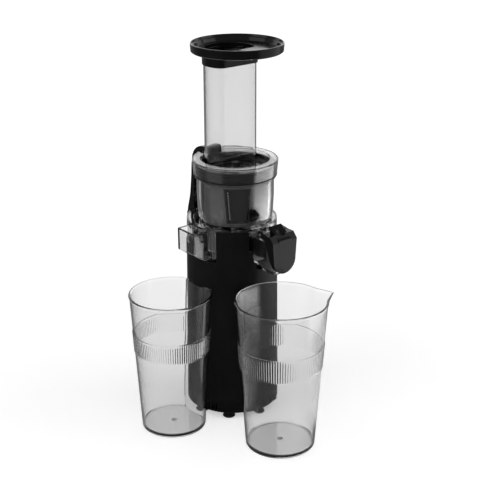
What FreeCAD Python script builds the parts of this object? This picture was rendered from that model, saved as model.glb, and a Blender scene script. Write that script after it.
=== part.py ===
import FreeCAD, Part
import math
import os
import Sketcher

# Cold press juicer, slim upright form, with its two cups standing in front of its outlets.
# Millimetres, +Z up. The origin is on the floor under the middle of the base.
# -Y is the side of the juice spout, -X the side of the pulp chute, +Y the side of the locking arm.

doc = FreeCAD.newDocument("ColdPressJuicer")
sheet = doc.addObject("Spreadsheet::Sheet", "Sizes")

# Driving dimensions: alias, value, what it is.
DRIVING = [
    ("foot_height", 7.0, "rubber feet, free height"),
    ("foot_radius", 7.3, "rubber feet, at the floor"),
    ("foot_neck_radius", 5.4, "rubber feet, under the base"),
    ("foot_circle", 45.0, "radius that the feet stand on"),
    ("base_radius_low", 53.0, "base at its bottom ring"),
    ("base_radius_high", 51.1, "base at its top"),
    ("base_wall", 2.6, "base wall"),
    ("bottom_ring_top", 18.6, "top of the bottom ring"),
    ("bottom_floor_thick", 2.4, "floor of the bottom cover"),
    ("seam_gap", 0.4, "shadow gap over the bottom ring"),
    ("base_side_top", 205.0, "top of the base wall at the sides and back"),
    ("base_front_top", 228.5, "top of the raised front of the base"),
    ("chute_notch_floor", 192.5, "lower edge of the notch for the pulp chute"),
    ("spout_notch_floor", 181.8, "lower edge of the notch for the juice spout"),
    ("spout_notch_round", 9.3, "round end of the spout notch"),
    ("spout_notch_half", 15.8, "half width of the spout notch at the top"),
    ("front_edge_chute", 211.0, "degrees, raised front: edge beside the chute"),
    ("front_edge_spout", 252.3, "degrees, raised front: edge beside the spout"),
    ("deck_top", 188.0, "platform that the bowl stands on"),
    ("deck_thick", 4.0, "platform thickness"),
    ("vent_slot_width", 2.0, "vent slots"),
    ("vent_slot_pitch", 5.0, "degrees between vent slots"),
    ("vent_slot_tall", 8.0, "vent slots, height"),
    ("bowl_forward", 6.5, "bowl axis in front of the base axis"),
    ("bowl_radius", 42.9, "bowl, outside, upper part"),
    ("bowl_radius_low", 41.8, "bowl, outside, above its rounded bottom"),
    ("bowl_wall", 2.4, "bowl wall"),
    ("bowl_floor", 231.0, "underside of the bowl's rounded bottom"),
    ("bowl_floor_thick", 2.2, "bowl floor"),
    ("bowl_rim", 295.6, "top of the bowl wall"),
    ("bowl_bend", 7.0, "rounding of the bowl's bottom"),
    ("skirt_radius", 50.8, "clear skirt under the bowl"),
    ("skirt_wall", 2.2, "skirt and hub walls"),
    ("hub_radius", 46.0, "lower body of the bowl, inside the base"),
    ("flange_radius", 45.4, "bowl's flange under the lid"),
    ("flange_thick", 1.8, "bowl's flange under the lid"),
    ("gasket_thick", 1.5, "black ring under the lid"),
    ("lid_bottom", 284.0, "lower edge of the lid"),
    ("lid_top", 300.5, "top of the lid's ring"),
    ("lid_radius", 47.7, "lid, outside, at its top"),
    ("lid_radius_low", 46.2, "lid, outside, at its bottom"),
    ("lid_skin", 1.8, "lid wall"),
    ("lid_well_radius", 38.2, "sunken middle of the lid"),
    ("lid_well_floor", 289.6, "floor of the sunken middle"),
    ("lid_neck_top", 304.6, "seam between the lid's neck and the feed tube"),
    ("tube_radius", 29.0, "feed tube, round side"),
    ("tube_flat", 16.0, "feed tube, flat side from the centre of its round side"),
    ("tube_back", 1.0, "centre of the tube's round side behind the base axis"),
    ("tube_corner", 7.5, "rounding of the tube's corners"),
    ("tube_wall", 2.0, "feed tube wall"),
    ("tube_top", 417.0, "top of the feed tube, inside the tray's collar"),
    ("tray_radius", 50.1, "tray, outside"),
    ("tray_forward", 10.8, "tray centre in front of the base axis"),
    ("tray_top", 428.0, "tray rim"),
    ("tray_bottom", 417.9, "underside of the tray"),
    ("tray_wall", 2.2, "tray wall and floor"),
    ("collar_bottom", 403.6, "lower edge of the tray's collar"),
    ("collar_wall", 1.2, "tray's collar wall"),
    ("slip_fit", 0.25, "clearance of the tray's collar round the tube"),
    ("arm_half_width", 10.0, "locking arm, half its width"),
    ("arm_pivot_back", 62.8, "locking arm's pin behind the base axis"),
    ("arm_pivot_height", 216.6, "locking arm's pin"),
    ("arm_eye", 7.2, "round lower end of the locking arm"),
    ("arm_pin_radius", 2.0, "locking arm's pin"),
    ("running_gap", 0.05, "radial clearance of a pin or shaft in its hole"),
    ("side_gap", 0.4, "clearance at the sides of what turns or slides"),
    ("chute_half", 15.5, "pulp chute, half its width"),
    ("chute_end", 64.5, "end face of the pulp chute"),
    ("chute_top", 227.6, "top of the pulp chute"),
    ("chute_lip", 202.5, "lower edge of the chute's end face"),
    ("clear_wall", 2.0, "walls of the chute and the spout"),
    ("spout_end", 79.5, "front of the spout's lowest edge, in front of the base axis"),
    ("spout_inset", 1.0, "clearance of the spout in its notch"),
    ("spout_top", 226.4, "top of the juice spout"),
    ("spout_low", 184.5, "lowest point of the juice spout"),
    ("cap_half", 17.0, "drip cap, half its width"),
    ("cap_front", 90.2, "front of the drip cap"),
    ("cap_bottom", 189.4, "rounded lower end of the drip cap"),
    ("cap_wall", 2.0, "drip cap wall"),
    ("cap_pivot_out", 68.5, "drip cap's pin in front of the base axis"),
    ("cap_pivot_height", 231.5, "drip cap's pin"),
    ("cap_pin_radius", 1.5, "drip cap's pin"),
    ("strainer_radius", 37.6, "strainer at its top"),
    ("strainer_radius_low", 36.2, "strainer at its bottom"),
    ("strainer_wall", 1.8, "strainer frame wall"),
    ("mesh_thick", 0.5, "strainer mesh"),
    ("window_low", 238.0, "strainer windows, lower edge"),
    ("window_high", 274.0, "strainer windows, upper edge"),
    ("window_width", 25.5, "strainer windows"),
    ("window_angle", 234.0, "degrees, middle of the first window"),
    ("auger_radius", 31.5, "auger over its flights"),
    ("auger_core_low", 20.0, "auger core at its foot"),
    ("auger_core_high", 9.0, "auger core at its top"),
    ("auger_pitch", 24.0, "auger flights"),
    ("drive_flats", 10.0, "drive shaft, across its flats"),
    ("drive_round", 5.0, "drive shaft, its round part"),
    ("jug_x", -23.0, "juice jug, left of the base axis"),
    ("jug_forward", 111.5, "juice jug, in front of the base axis"),
    ("jug_height", 171.8, "juice jug"),
    ("jug_rim_radius", 49.7, "juice jug, outside, under its bead"),
    ("jug_foot_radius", 38.4, "juice jug, outside, at the floor"),
    ("cup_wall", 1.8, "walls of the jug and the cup"),
    ("cup_floor", 3.0, "floors of the jug and the cup"),
    ("beak_reach", 60.0, "tip of the jug's pouring beak from its axis"),
    ("beak_angle", -20.0, "degrees, direction of the beak"),
    ("jug_band_low", 95.1, "ribbed band on the jug"),
    ("jug_band_high", 122.5, "ribbed band on the jug"),
    ("cup_x", -89.2, "pulp cup, left of the base axis"),
    ("cup_forward", 2.4, "pulp cup, in front of the base axis"),
    ("cup_height", 162.0, "pulp cup"),
    ("cup_rim_radius", 45.6, "pulp cup, outside, under its bead"),
    ("cup_foot_radius", 36.2, "pulp cup, outside, at the floor"),
    ("cup_hollow_high", 53.0, "radius of the pulp cup's hollow side, at its rim"),
    ("cup_hollow_low", 60.7, "radius of the pulp cup's hollow side, at its floor"),
    ("cup_band_low", 93.9, "ribbed band on the cup"),
    ("cup_band_high", 118.0, "ribbed band on the cup"),
    ("band_proud", 0.7, "how far the ribbed bands stand out"),
    ("bead_height", 2.6, "rolled rims of the jug and the cup"),
    ("bead_proud", 0.9, "rolled rims of the jug and the cup"),
    ("motor_radius", 33.0, "motor can"),
    ("motor_low", 44.0, "underside of the motor can"),
    ("motor_wall", 1.5, "motor can"),
    ("magnet_thick", 6.0, "motor magnets"),
    ("air_gap", 0.8, "between rotor and magnets"),
    ("shaft_radius", 3.0, "motor shaft"),
    ("bearing_radius", 8.0, "motor bearings, outside"),
    ("bearing_tall", 5.0, "motor bearings"),
    ("gear_module", 1.0, "gear teeth"),
    ("output_teeth", 60.0, "output gear"),
    ("pinion_teeth", 12.0, "both pinions"),
    ("idler_teeth", 30.0, "large gear of the idler"),
    ("backlash", 0.16, "play between the gear teeth"),
    ("gear_tall", 8.0, "gear rims"),
    ("gearcase_low", 122.0, "floor of the gear case"),
    ("gearcase_high", 160.0, "top of the gear case"),
    ("gearcase_wall", 1.6, "gear case"),
    ("fan_radius", 26.0, "cooling fan"),
    ("fan_tall", 7.0, "cooling fan"),
    ("post_tall", 26.0, "screw posts in the base"),
    ("board_width", 40.0, "control board"),
    ("board_tall", 44.0, "control board"),
    ("board_low", 53.0, "lower edge of the control board"),
    ("board_inward", 17.0, "control board, inwards from the outside of the base"),
    ("board_thick", 1.6, "control board"),
    ("relay_width", 14.0, "relay on the control board"),
    ("relay_tall", 12.0, "relay on the control board"),
    ("relay_deep", 10.0, "relay on the control board"),
    ("capacitor_radius", 5.0, "capacitor on the control board"),
    ("interlock_width", 8.0, "safety switch under the platform"),
    ("interlock_long", 18.0, "safety switch under the platform"),
    ("interlock_tall", 10.0, "safety switch under the platform"),
    ("interlock_side", 34.0, "safety switch right of the base axis"),
    ("switch_height", 70.0, "middle of the rocker switch"),
    ("switch_width", 21.0, "switch bezel"),
    ("switch_tall", 15.0, "switch bezel"),
    ("gland_height", 31.0, "middle of the cord gland"),
    ("gland_radius", 6.0, "cord gland"),
    ("seal_radius", 9.0, "shaft seal in the platform, outside"),
    ("stem_radius", 7.5, "auger stem"),
    ("hole_bowl", 9.6, "hole in the bowl floor for the auger stem"),
    ("gearcase_radius", 47.8, "gear case, outside"),
    ("screw_circle", 45.6, "radius that the base screws stand on"),
    ("screw_radius", 1.6, "base screws, thread"),
    ("screw_head", 3.2, "base screws, head"),
]


class Size:
    """A length that knows its number and the spreadsheet formula it comes from."""

    def __init__(self, value, text):
        self.value = float(value)
        self.text = text

    def __add__(self, other):
        other = as_size(other)
        return Size(self.value + other.value, "(" + self.text + " + " + other.text + ")")

    def __sub__(self, other):
        other = as_size(other)
        return Size(self.value - other.value, "(" + self.text + " - " + other.text + ")")

    def __mul__(self, other):
        other = as_size(other)
        return Size(self.value * other.value, "(" + self.text + " * " + other.text + ")")

    def __truediv__(self, other):
        other = as_size(other)
        return Size(self.value / other.value, "(" + self.text + " / " + other.text + ")")

    def __neg__(self):
        return Size(-self.value, "(0 - " + self.text + ")")

    def __radd__(self, other):
        return as_size(other) + self

    def __rsub__(self, other):
        return as_size(other) - self

    def __rmul__(self, other):
        return as_size(other) * self

    def __float__(self):
        return self.value


def as_size(thing):
    return thing if isinstance(thing, Size) else Size(thing, repr(float(thing)))


def lower_of(first, second):
    """The lower of two heights, whichever a changed size makes it."""
    first, second = as_size(first), as_size(second)
    return Size(min(first.value, second.value), "min(" + first.text + "; " + second.text + ")")


def higher_of(first, second):
    """The higher of two heights, whichever a changed size makes it."""
    first, second = as_size(first), as_size(second)
    return Size(max(first.value, second.value), "max(" + first.text + "; " + second.text + ")")


class Sizes:
    """Every spreadsheet cell, by its alias."""


for row, (alias, number, meaning) in enumerate(DRIVING, start=1):
    sheet.set("A" + str(row), alias)
    sheet.set("B" + str(row), str(number))
    sheet.set("C" + str(row), meaning)
    sheet.setAlias("B" + str(row), alias)
doc.recompute()
S = Sizes()
for alias, number, meaning in DRIVING:
    setattr(S, alias, Size(sheet.get(alias), "Sizes." + alias))

EPS = 1.0          # how far a cutting shape reaches past the face it cuts
nodes = {}         # node name to the object that holds it


def bind(thing, **sizes):
    """Set properties of an object and tie each to its formula."""
    for name, size in sizes.items():
        size = as_size(size)
        setattr(thing, name, size.value)
        thing.setExpression(name, size.text)


def place(thing, x=0.0, y=0.0, z=0.0):
    """Put an object at a point, tied to the sheet."""
    thing.Placement.Base = FreeCAD.Vector(float(x), float(y), float(z))
    for axis, size in zip("xyz", (x, y, z)):
        thing.setExpression("Placement.Base." + axis, as_size(size).text)


def turn(thing, degrees, axis=(0, 0, 1)):
    """Turn an object about an axis through its own origin."""
    thing.Placement.Rotation = FreeCAD.Rotation(FreeCAD.Vector(*axis), float(degrees))


def node(name, thing):
    """Name a finished piece."""
    thing.Label = name
    nodes[name] = thing
    return thing


def cylinder(name, radius, height, x=0.0, y=0.0, z=0.0, along=None):
    thing = doc.addObject("Part::Cylinder", name)
    bind(thing, Radius=radius, Height=height)
    if along == "X":
        turn(thing, 90, (0, 1, 0))
    if along == "Y":
        turn(thing, 90, (-1, 0, 0))
    place(thing, x, y, z)
    return thing


def cone(name, radius_low, radius_high, height, x=0.0, y=0.0, z=0.0):
    thing = doc.addObject("Part::Cone", name)
    bind(thing, Radius1=radius_low, Radius2=radius_high, Height=height)
    place(thing, x, y, z)
    return thing


def block(name, length, width, height, x=0.0, y=0.0, z=0.0):
    """A box whose x, y, z are its lowest corner."""
    thing = doc.addObject("Part::Box", name)
    bind(thing, Length=length, Width=width, Height=height)
    place(thing, x, y, z)
    return thing


def cut(name, solid, *tools):
    thing = doc.addObject("Part::Cut", name)
    thing.Base = solid
    thing.Tool = tools[0] if len(tools) == 1 else together(name + "_tools", *tools)
    return thing


def fuse(name, *solids):
    thing = doc.addObject("Part::MultiFuse", name)
    thing.Shapes = list(solids)
    return thing


def common(name, one, other):
    thing = doc.addObject("Part::Common", name)
    thing.Base = one
    thing.Tool = other
    return thing


def together(name, *solids):
    """Several separate solids kept in one object."""
    thing = doc.addObject("Part::Compound", name)
    thing.Links = list(solids)
    return thing


def outline(body, name, corners, role):
    """A closed sketch through corners, each one tied to the sheet."""
    sketch = body.newObject("Sketcher::SketchObject", name)
    plane = [f for f in body.Origin.OriginFeatures if f.Role == role][0]
    sketch.AttachmentSupport = [(plane, "")]
    sketch.MapMode = "FlatFace"
    points = [(as_size(u), as_size(v)) for u, v in corners]
    for one, other in zip(points, points[1:] + points[:1]):
        start = FreeCAD.Vector(one[0].value, one[1].value, 0)
        end = FreeCAD.Vector(other[0].value, other[1].value, 0)
        sketch.addGeometry(Part.LineSegment(start, end), False)
    count = len(points)
    for index in range(count):
        sketch.addConstraint(Sketcher.Constraint("Coincident", index, 2, (index + 1) % count, 1))
    for index, (u, v) in enumerate(points):
        for kind, size in (("DistanceX", u), ("DistanceY", v)):
            number = sketch.addConstraint(Sketcher.Constraint(kind, index, 1, size.value))
            sketch.setExpression("Constraints[" + str(number) + "]", size.text)
    return sketch


def lathe(name, corners, x=0.0, y=0.0):
    """A body turned about its own Z axis from corners given as radius and height."""
    body = doc.addObject("PartDesign::Body", name)
    sketch = outline(body, name + "_profile", corners, "XZ_Plane")
    turned = body.newObject("PartDesign::Revolution", name + "_turned")
    turned.Profile = sketch
    turned.ReferenceAxis = (sketch, ["V_Axis"])
    turned.Angle = 360.0
    place(body, x, y)
    return body


def prism(name, corners, half_width, role):
    """A body with a side outline, as wide as half_width to both sides of its plane."""
    body = doc.addObject("PartDesign::Body", name)
    sketch = outline(body, name + "_profile", corners, role)
    pad = body.newObject("PartDesign::Pad", name + "_pad")
    pad.Profile = sketch
    pad.Midplane = True
    bind(pad, Length=half_width * 2)
    return body


def copies(name, shape, places):
    """The same piece at several placements, as separate solids of one object."""
    thing = doc.addObject("Part::Feature", name)
    made = []
    for placement in places:
        copy = shape.copy()
        copy.Placement = placement.multiply(copy.Placement)
        made.append(copy)
    thing.Shape = Part.makeCompound(made)
    return thing


def ring_places(count, first=0.0):
    """Placements evenly round the Z axis."""
    spots = []
    for index in range(count):
        angle = first + 360.0 * index / count
        turned = FreeCAD.Rotation(FreeCAD.Vector(0, 0, 1), angle)
        spots.append(FreeCAD.Placement(FreeCAD.Vector(0, 0, 0), turned))
    return spots


def feature(name, shape):
    thing = doc.addObject("Part::Feature", name)
    thing.Shape = shape
    return thing


def sector(name, radius, low, high, first, last):
    """A wedge about the Z axis, between two angles in degrees."""
    thing = doc.addObject("Part::Cylinder", name)
    bind(thing, Radius=radius, Height=high - low, Angle=last - first)
    thing.Placement.Rotation = FreeCAD.Rotation(FreeCAD.Vector(0, 0, 1), float(first))
    place(thing, 0.0, 0.0, low)
    return thing


def d_column(name, radius, flat, corner, low, high):
    """A column with a round back and a flat front, its corners rounded."""
    height = high - low
    reach = radius * 2
    rod = cylinder(name + "_round", radius, height, 0.0, S.tube_back, low)
    front = block(name + "_front", reach, reach, height, -radius, S.tube_back - flat, low)
    rough = common(name + "_rough", rod, front)
    doc.recompute()
    shape = rough.Shape
    edge_y = float(S.tube_back - flat)
    upright = [e for e in shape.Edges if abs(e.Vertexes[0].Y - edge_y) < 0.01
               and abs(e.Vertexes[-1].Y - edge_y) < 0.01 and abs(e.Vertexes[0].Z - e.Vertexes[-1].Z) > 1]
    return feature(name, shape.makeFillet(float(corner), upright))



# Base: housing, bottom cover, feet, screws.
R_LOW = S.base_radius_low
R_HIGH = S.base_radius_high
HOUSING_LOW = S.bottom_ring_top + S.seam_gap
DECK_LOW = S.deck_top - S.deck_thick
COVER_TOP = S.foot_height + S.bottom_floor_thick
SHAFT_Y = -S.bowl_forward
POST_RADIUS = S.screw_radius + 2.4
POST_TURN = 67.5
VENT_TURN = 22.5


def spout_section(name, inset, low_y, high_y):
    """A U-shaped column along Y: the shape of the spout and of the notch that it leaves by."""
    centre_z = S.spout_notch_floor + S.spout_notch_round
    small = S.spout_notch_round - inset
    wide = S.spout_notch_half - inset
    slope_top = S.base_front_top - 5.0
    over = S.base_front_top + 4.0
    column = prism(name + "_sides", [
        (-small, centre_z), (small, centre_z), (wide, slope_top), (wide, over), (-wide, over),
        (-wide, slope_top),
    ], (high_y - low_y) / 2, "XZ_Plane")
    place(column, 0.0, (low_y + high_y) / 2, 0.0)
    end = cylinder(name + "_end", small, high_y - low_y, 0.0, low_y, centre_z, along="Y")
    return fuse(name, column, end)


def base_housing():
    inner_low = R_LOW - S.base_wall
    inner_high = R_HIGH - S.base_wall
    shell = lathe("housing_shell", [
        (inner_low, HOUSING_LOW), (R_LOW, HOUSING_LOW), (R_HIGH, S.base_front_top),
        (inner_high, S.base_front_top), (inner_high, S.deck_top), (0, S.deck_top),
        (0, DECK_LOW), (inner_high, DECK_LOW),
    ])
    # The wall is high only at the front, between the two outlets.
    over = S.base_front_top - S.base_side_top + EPS
    wide = R_LOW + EPS
    sides = cut("housing_sides", cylinder("housing_over", wide, over, z=S.base_side_top),
                sector("housing_front", wide + EPS, S.base_side_top - EPS, S.base_front_top + EPS * 2,
                       S.front_edge_chute, S.front_edge_spout),
                cylinder("housing_core", inner_high - EPS, over + EPS, z=S.base_side_top - EPS))
    chute_notch = cut("chute_notch",
                      sector("chute_notch_wedge", wide, S.chute_notch_floor, S.base_side_top + EPS,
                             360.0 - S.front_edge_chute, S.front_edge_chute),
                      cylinder("chute_notch_core", inner_high - EPS, S.base_side_top,
                               z=S.chute_notch_floor - EPS))
    spout_notch = spout_section("spout_notch", as_size(0.0), -wide, -inner_high + 4.0)
    shaft_hole = cylinder("housing_shaft_hole", S.seal_radius, S.deck_thick + EPS * 2, 0.0, SHAFT_Y,
                          DECK_LOW - EPS)
    switch_hole = block("housing_switch_hole", 10.0, S.switch_tall - 1.6, S.switch_width - 1.6,
                        inner_low - 4.0, 0.8 - S.switch_tall / 2, S.switch_height + 0.8 - S.switch_width / 2)
    gland_hole = cylinder("housing_gland_hole", S.gland_radius, 10.0, 0.0, inner_low - 4.0,
                          S.gland_height, along="Y")
    post = cylinder("screw_post", POST_RADIUS, S.post_tall, S.screw_circle, 0.0, COVER_TOP)
    rib = block("screw_rib", inner_low + 1.0 - S.screw_circle, 3.0, 12.0, S.screw_circle, -1.5,
                HOUSING_LOW + 3.4)
    bore = cylinder("screw_bore", S.screw_radius, 16.0, S.screw_circle, 0.0, COVER_TOP - EPS)
    doc.recompute()
    drilled = post.Shape.fuse(rib.Shape).cut(bore.Shape)
    posts = copies("screw_posts", drilled, ring_places(4, POST_TURN))
    # Four posts hold the control board by its corners.
    left = 5.0 - S.board_width / 2
    right = S.board_width / 2 - 10.0
    low = S.board_low + 3.0
    high = S.board_low + S.board_tall - 9.0
    stubs = [block("board_post" + str(i), 5.0, S.board_inward - 2.0, 5.0, x, 2.0 - R_LOW, z)
             for i, (x, z) in enumerate(((left, low), (right, low), (left, high), (right, high)))]
    whole = fuse("housing_whole", shell, posts, *stubs)
    node("base_housing", cut("housing", whole, sides, chute_notch, spout_notch, shaft_hole,
                             switch_hole, gland_hole))


def bottom_cover():
    inner = R_LOW - S.base_wall
    lip = inner - 0.3
    shell = lathe("cover_shell", [
        (0, S.foot_height), (R_LOW - 0.8, S.foot_height), (R_LOW, S.foot_height + 0.8),
        (R_LOW, S.bottom_ring_top), (lip, S.bottom_ring_top),
        (lip, HOUSING_LOW + 3.0), (lip - 1.6, HOUSING_LOW + 3.0), (lip - 1.6, COVER_TOP), (0, COVER_TOP),
    ])
    slot = block("vent_slot", S.base_wall * 4, S.vent_slot_width, S.vent_slot_tall,
                 R_LOW - S.base_wall * 2, -S.vent_slot_width / 2,
                 (S.foot_height + S.bottom_ring_top - S.vent_slot_tall) / 2)
    clear = cylinder("post_clearance", POST_RADIUS + 0.3, 20.0, S.screw_circle, 0.0, COVER_TOP)
    bore = cylinder("cover_screw_hole", S.screw_radius + 0.3, 10.0, S.screw_circle, 0.0,
                    S.foot_height - EPS)
    sink = cylinder("cover_screw_sink", S.screw_head + 0.3, 1.4, S.screw_circle, 0.0,
                    S.foot_height - 0.2)
    socket = cylinder("foot_socket", S.foot_neck_radius - 1.5, 1.2, S.foot_circle, 0.0,
                      S.foot_height - 0.2)
    doc.recompute()
    slots = []
    for group in range(4):
        for index in range(4):
            angle = VENT_TURN + 90.0 * group + float(S.vent_slot_pitch) * (index - 1.5)
            slots.extend(ring_places(1, angle))
    holes = [
        copies("vent_slots", slot.Shape, slots),
        copies("cover_post_rooms", clear.Shape, ring_places(4, POST_TURN)),
        copies("cover_screw_holes", bore.Shape, ring_places(4, POST_TURN)),
        copies("cover_screw_sinks", sink.Shape, ring_places(4, POST_TURN)),
        copies("foot_sockets", socket.Shape, ring_places(8)),
    ]
    node("bottom_cover", cut("cover", shell, *holes))


def rubber_feet():
    foot = lathe("foot", [
        (0, 0), (S.foot_radius - 0.8, 0), (S.foot_radius, 0.8), (S.foot_neck_radius + 0.6, 3.0),
        (S.foot_neck_radius, S.foot_height), (S.foot_neck_radius - 1.6, S.foot_height),
        (S.foot_neck_radius - 1.6, S.foot_height + 0.9), (0, S.foot_height + 0.9),
    ], S.foot_circle)
    doc.recompute()
    node("rubber_feet", copies("feet", foot.Shape, ring_places(8)))


def base_screws():
    top = S.foot_height + 1.1
    screw = lathe("base_screw", [
        (0, top - 1.0), (1.0, top - 1.0), (1.0, top - 0.5), (S.screw_head, top - 0.5), (S.screw_head, top),
        (S.screw_radius, top), (S.screw_radius, top + 12.0), (0, top + 13.0),
    ], S.screw_circle)
    doc.recompute()
    node("base_screws", copies("screws", screw.Shape, ring_places(4, POST_TURN)))


def switch_parts():
    face = R_LOW - 0.3
    low_y = -S.switch_tall / 2
    low_z = S.switch_height - S.switch_width / 2
    flange = block("bezel_flange", 1.7, S.switch_tall, S.switch_width, face, low_y, low_z)
    body = block("bezel_body", 11.0, S.switch_tall - 2.0, S.switch_width - 2.0, face - 11.0, low_y + 1.0,
                 low_z + 1.0)
    well = block("bezel_well", 11.5, S.switch_tall - 4.0, S.switch_width - 3.2, face - 9.0, low_y + 2.0,
                 low_z + 1.6)
    pivot = cylinder("bezel_pivot", 1.0, S.switch_tall, face - 2.2, low_y, S.switch_height, along="Y")
    frame = cut("bezel", fuse("bezel_whole", flange, body), well, pivot)
    node("switch_bezel", frame)
    rocker = prism("rocker", [
        (-4.0, -3.0), (0.0, -7.5), (4.6, -7.9), (2.9, 0.0), (4.6, 7.9), (0.0, 7.5), (-4.0, 3.0),
    ], S.switch_tall / 2 - 2.3, "XZ_Plane")
    turn(rocker, -8, (0, 1, 0))
    place(rocker, face - 2.2, 0.0, S.switch_height)
    axle = cylinder("rocker_axle", 0.95, S.switch_tall - 2.4, face - 2.2, low_y + 1.2, S.switch_height,
                    along="Y")
    node("rocker_switch", fuse("rocker_whole", rocker, axle))


def cord_gland():
    inner = R_LOW - S.base_wall
    gland = lathe("gland", [
        (3.4, -3.0), (S.gland_radius + 1.2, -3.0), (S.gland_radius + 1.2, -0.6), (S.gland_radius - 0.2, -0.6),
        (S.gland_radius - 0.2, S.base_wall + 0.6), (S.gland_radius + 1.8, S.base_wall + 0.6),
        (S.gland_radius + 1.2, S.base_wall + 3.0), (S.gland_radius - 0.8, S.base_wall + 3.6),
        (S.gland_radius - 1.4, S.base_wall + 11.0), (3.4, S.base_wall + 11.0),
    ])
    turn(gland, -90, (1, 0, 0))
    place(gland, 0.0, inner, S.gland_height)
    node("cord_gland", gland)


# Drive: motor, two stages of gears, output shaft.
IDLER_Y = SHAFT_Y + S.gear_module * (S.output_teeth + S.pinion_teeth) / 2
MOTOR_Y = IDLER_Y - S.gear_module * (S.idler_teeth + S.pinion_teeth) / 2
MOTOR_HIGH = S.gearcase_low
CAN_INNER = S.motor_radius - S.motor_wall
ROTOR_RADIUS = CAN_INNER - S.magnet_thick - S.air_gap
CASE_FLOOR = S.gearcase_low + 2.4
FIRST_GEARS = CASE_FLOOR + 3.0
SECOND_GEARS = FIRST_GEARS + S.gear_tall + 4.0
CASE_LID = S.gearcase_high - 2.4
HEX_LOW = S.deck_top + 24.0
HEX_TOP = S.bowl_floor + 14.0


def motor():
    can = lathe("can", [
        (S.bearing_radius, MOTOR_HIGH - S.bearing_tall),
        (S.bearing_radius + 2.0, MOTOR_HIGH - S.bearing_tall),
        (S.bearing_radius + 2.0, MOTOR_HIGH - S.motor_wall), (CAN_INNER, MOTOR_HIGH - S.motor_wall),
        (CAN_INNER, S.motor_low), (S.motor_radius, S.motor_low), (S.motor_radius, MOTOR_HIGH),
        (S.bearing_radius, MOTOR_HIGH),
    ], 0.0, MOTOR_Y)
    node("motor_can", can)
    plate_low = S.motor_low - 3.0
    bell = lathe("bell", [
        (S.bearing_radius, plate_low), (S.motor_radius, plate_low), (S.motor_radius, S.motor_low),
        (S.bearing_radius + 2.0, S.motor_low), (S.bearing_radius + 2.0, plate_low + S.bearing_tall),
        (S.bearing_radius, plate_low + S.bearing_tall),
    ], 0.0, MOTOR_Y)
    node("motor_end_plate", bell)
    low = S.motor_low + 14.0
    high = MOTOR_HIGH - 18.0
    ring = lathe("magnet_ring", [
        (CAN_INNER - S.magnet_thick, low - 2.0), (CAN_INNER, low - 2.0), (CAN_INNER, high + 2.0),
        (CAN_INNER - S.magnet_thick, high + 2.0),
    ], 0.0, MOTOR_Y)
    gap = block("magnet_gap", S.motor_radius * 2, 14.0, high - low + 8.0, -S.motor_radius, MOTOR_Y - 7.0,
                low - 4.0)
    node("motor_magnets", cut("magnets", ring, gap))
    rotor = lathe("rotor_stack", [
        (S.shaft_radius, low), (ROTOR_RADIUS, low), (ROTOR_RADIUS, high), (S.shaft_radius, high),
    ], 0.0, MOTOR_Y)
    slot = block("rotor_slot", 4.0, 2.0, high - low + 2.0, ROTOR_RADIUS - 3.0, -1.0, low - 1.0)
    doc.recompute()
    slots = copies("rotor_slots", slot.Shape, ring_places(12))
    place(slots, 0.0, MOTOR_Y)
    node("rotor", cut("rotor_cut", rotor, slots))
    node("commutator", lathe("commutator_ring", [
        (S.shaft_radius, high + 2.0), (8.0, high + 2.0), (8.0, high + 11.0), (S.shaft_radius, high + 11.0),
    ], 0.0, MOTOR_Y))
    node("brush_plate", lathe("brush_ring", [
        (10.0, high + 2.5), (CAN_INNER, high + 2.5), (CAN_INNER, high + 4.0), (10.0, high + 4.0),
    ], 0.0, MOTOR_Y))
    brush = block("brush", 10.0, 5.0, 4.5, 8.2, -2.5, high + 4.0)
    doc.recompute()
    pair = copies("brush_pair", brush.Shape, ring_places(2))
    place(pair, 0.0, MOTOR_Y)
    node("carbon_brushes", pair)
    shaft = lathe("shaft", [
        (0, S.motor_low - 16.0), (S.shaft_radius, S.motor_low - 16.0),
        (S.shaft_radius, FIRST_GEARS + S.gear_tall + 1.0), (0, FIRST_GEARS + S.gear_tall + 1.0),
    ], 0.0, MOTOR_Y)
    node("motor_shaft", shaft)
    bore = S.shaft_radius + S.running_gap
    places = (("motor_bearing_lower", plate_low), ("motor_bearing_upper", MOTOR_HIGH - S.bearing_tall))
    for name, base in places:
        node(name, lathe(name + "_ring", [
            (bore, base), (S.bearing_radius, base), (S.bearing_radius, base + S.bearing_tall),
            (bore, base + S.bearing_tall),
        ], 0.0, MOTOR_Y))
    fan_low = S.motor_low - S.fan_tall - 6.0
    hub = cylinder("fan_hub", 7.0, S.fan_tall, 0.0, 0.0, fan_low)
    disc = cylinder("fan_disc", S.fan_radius, 1.2, 0.0, 0.0, fan_low)
    blade = block("fan_blade", S.fan_radius - 6.0, 1.2, S.fan_tall - 1.0, 5.5, -0.6, fan_low + 0.5)
    doc.recompute()
    blades = copies("fan_blades", blade.Shape, ring_places(9))
    wheel = fuse("fan_wheel", hub, disc, blades)
    fan = cut("fan", wheel, cylinder("fan_bore", S.shaft_radius, 20.0, 0.0, 0.0, S.motor_low - 20.0))
    place(fan, 0.0, MOTOR_Y)
    node("cooling_fan", fan)


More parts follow.
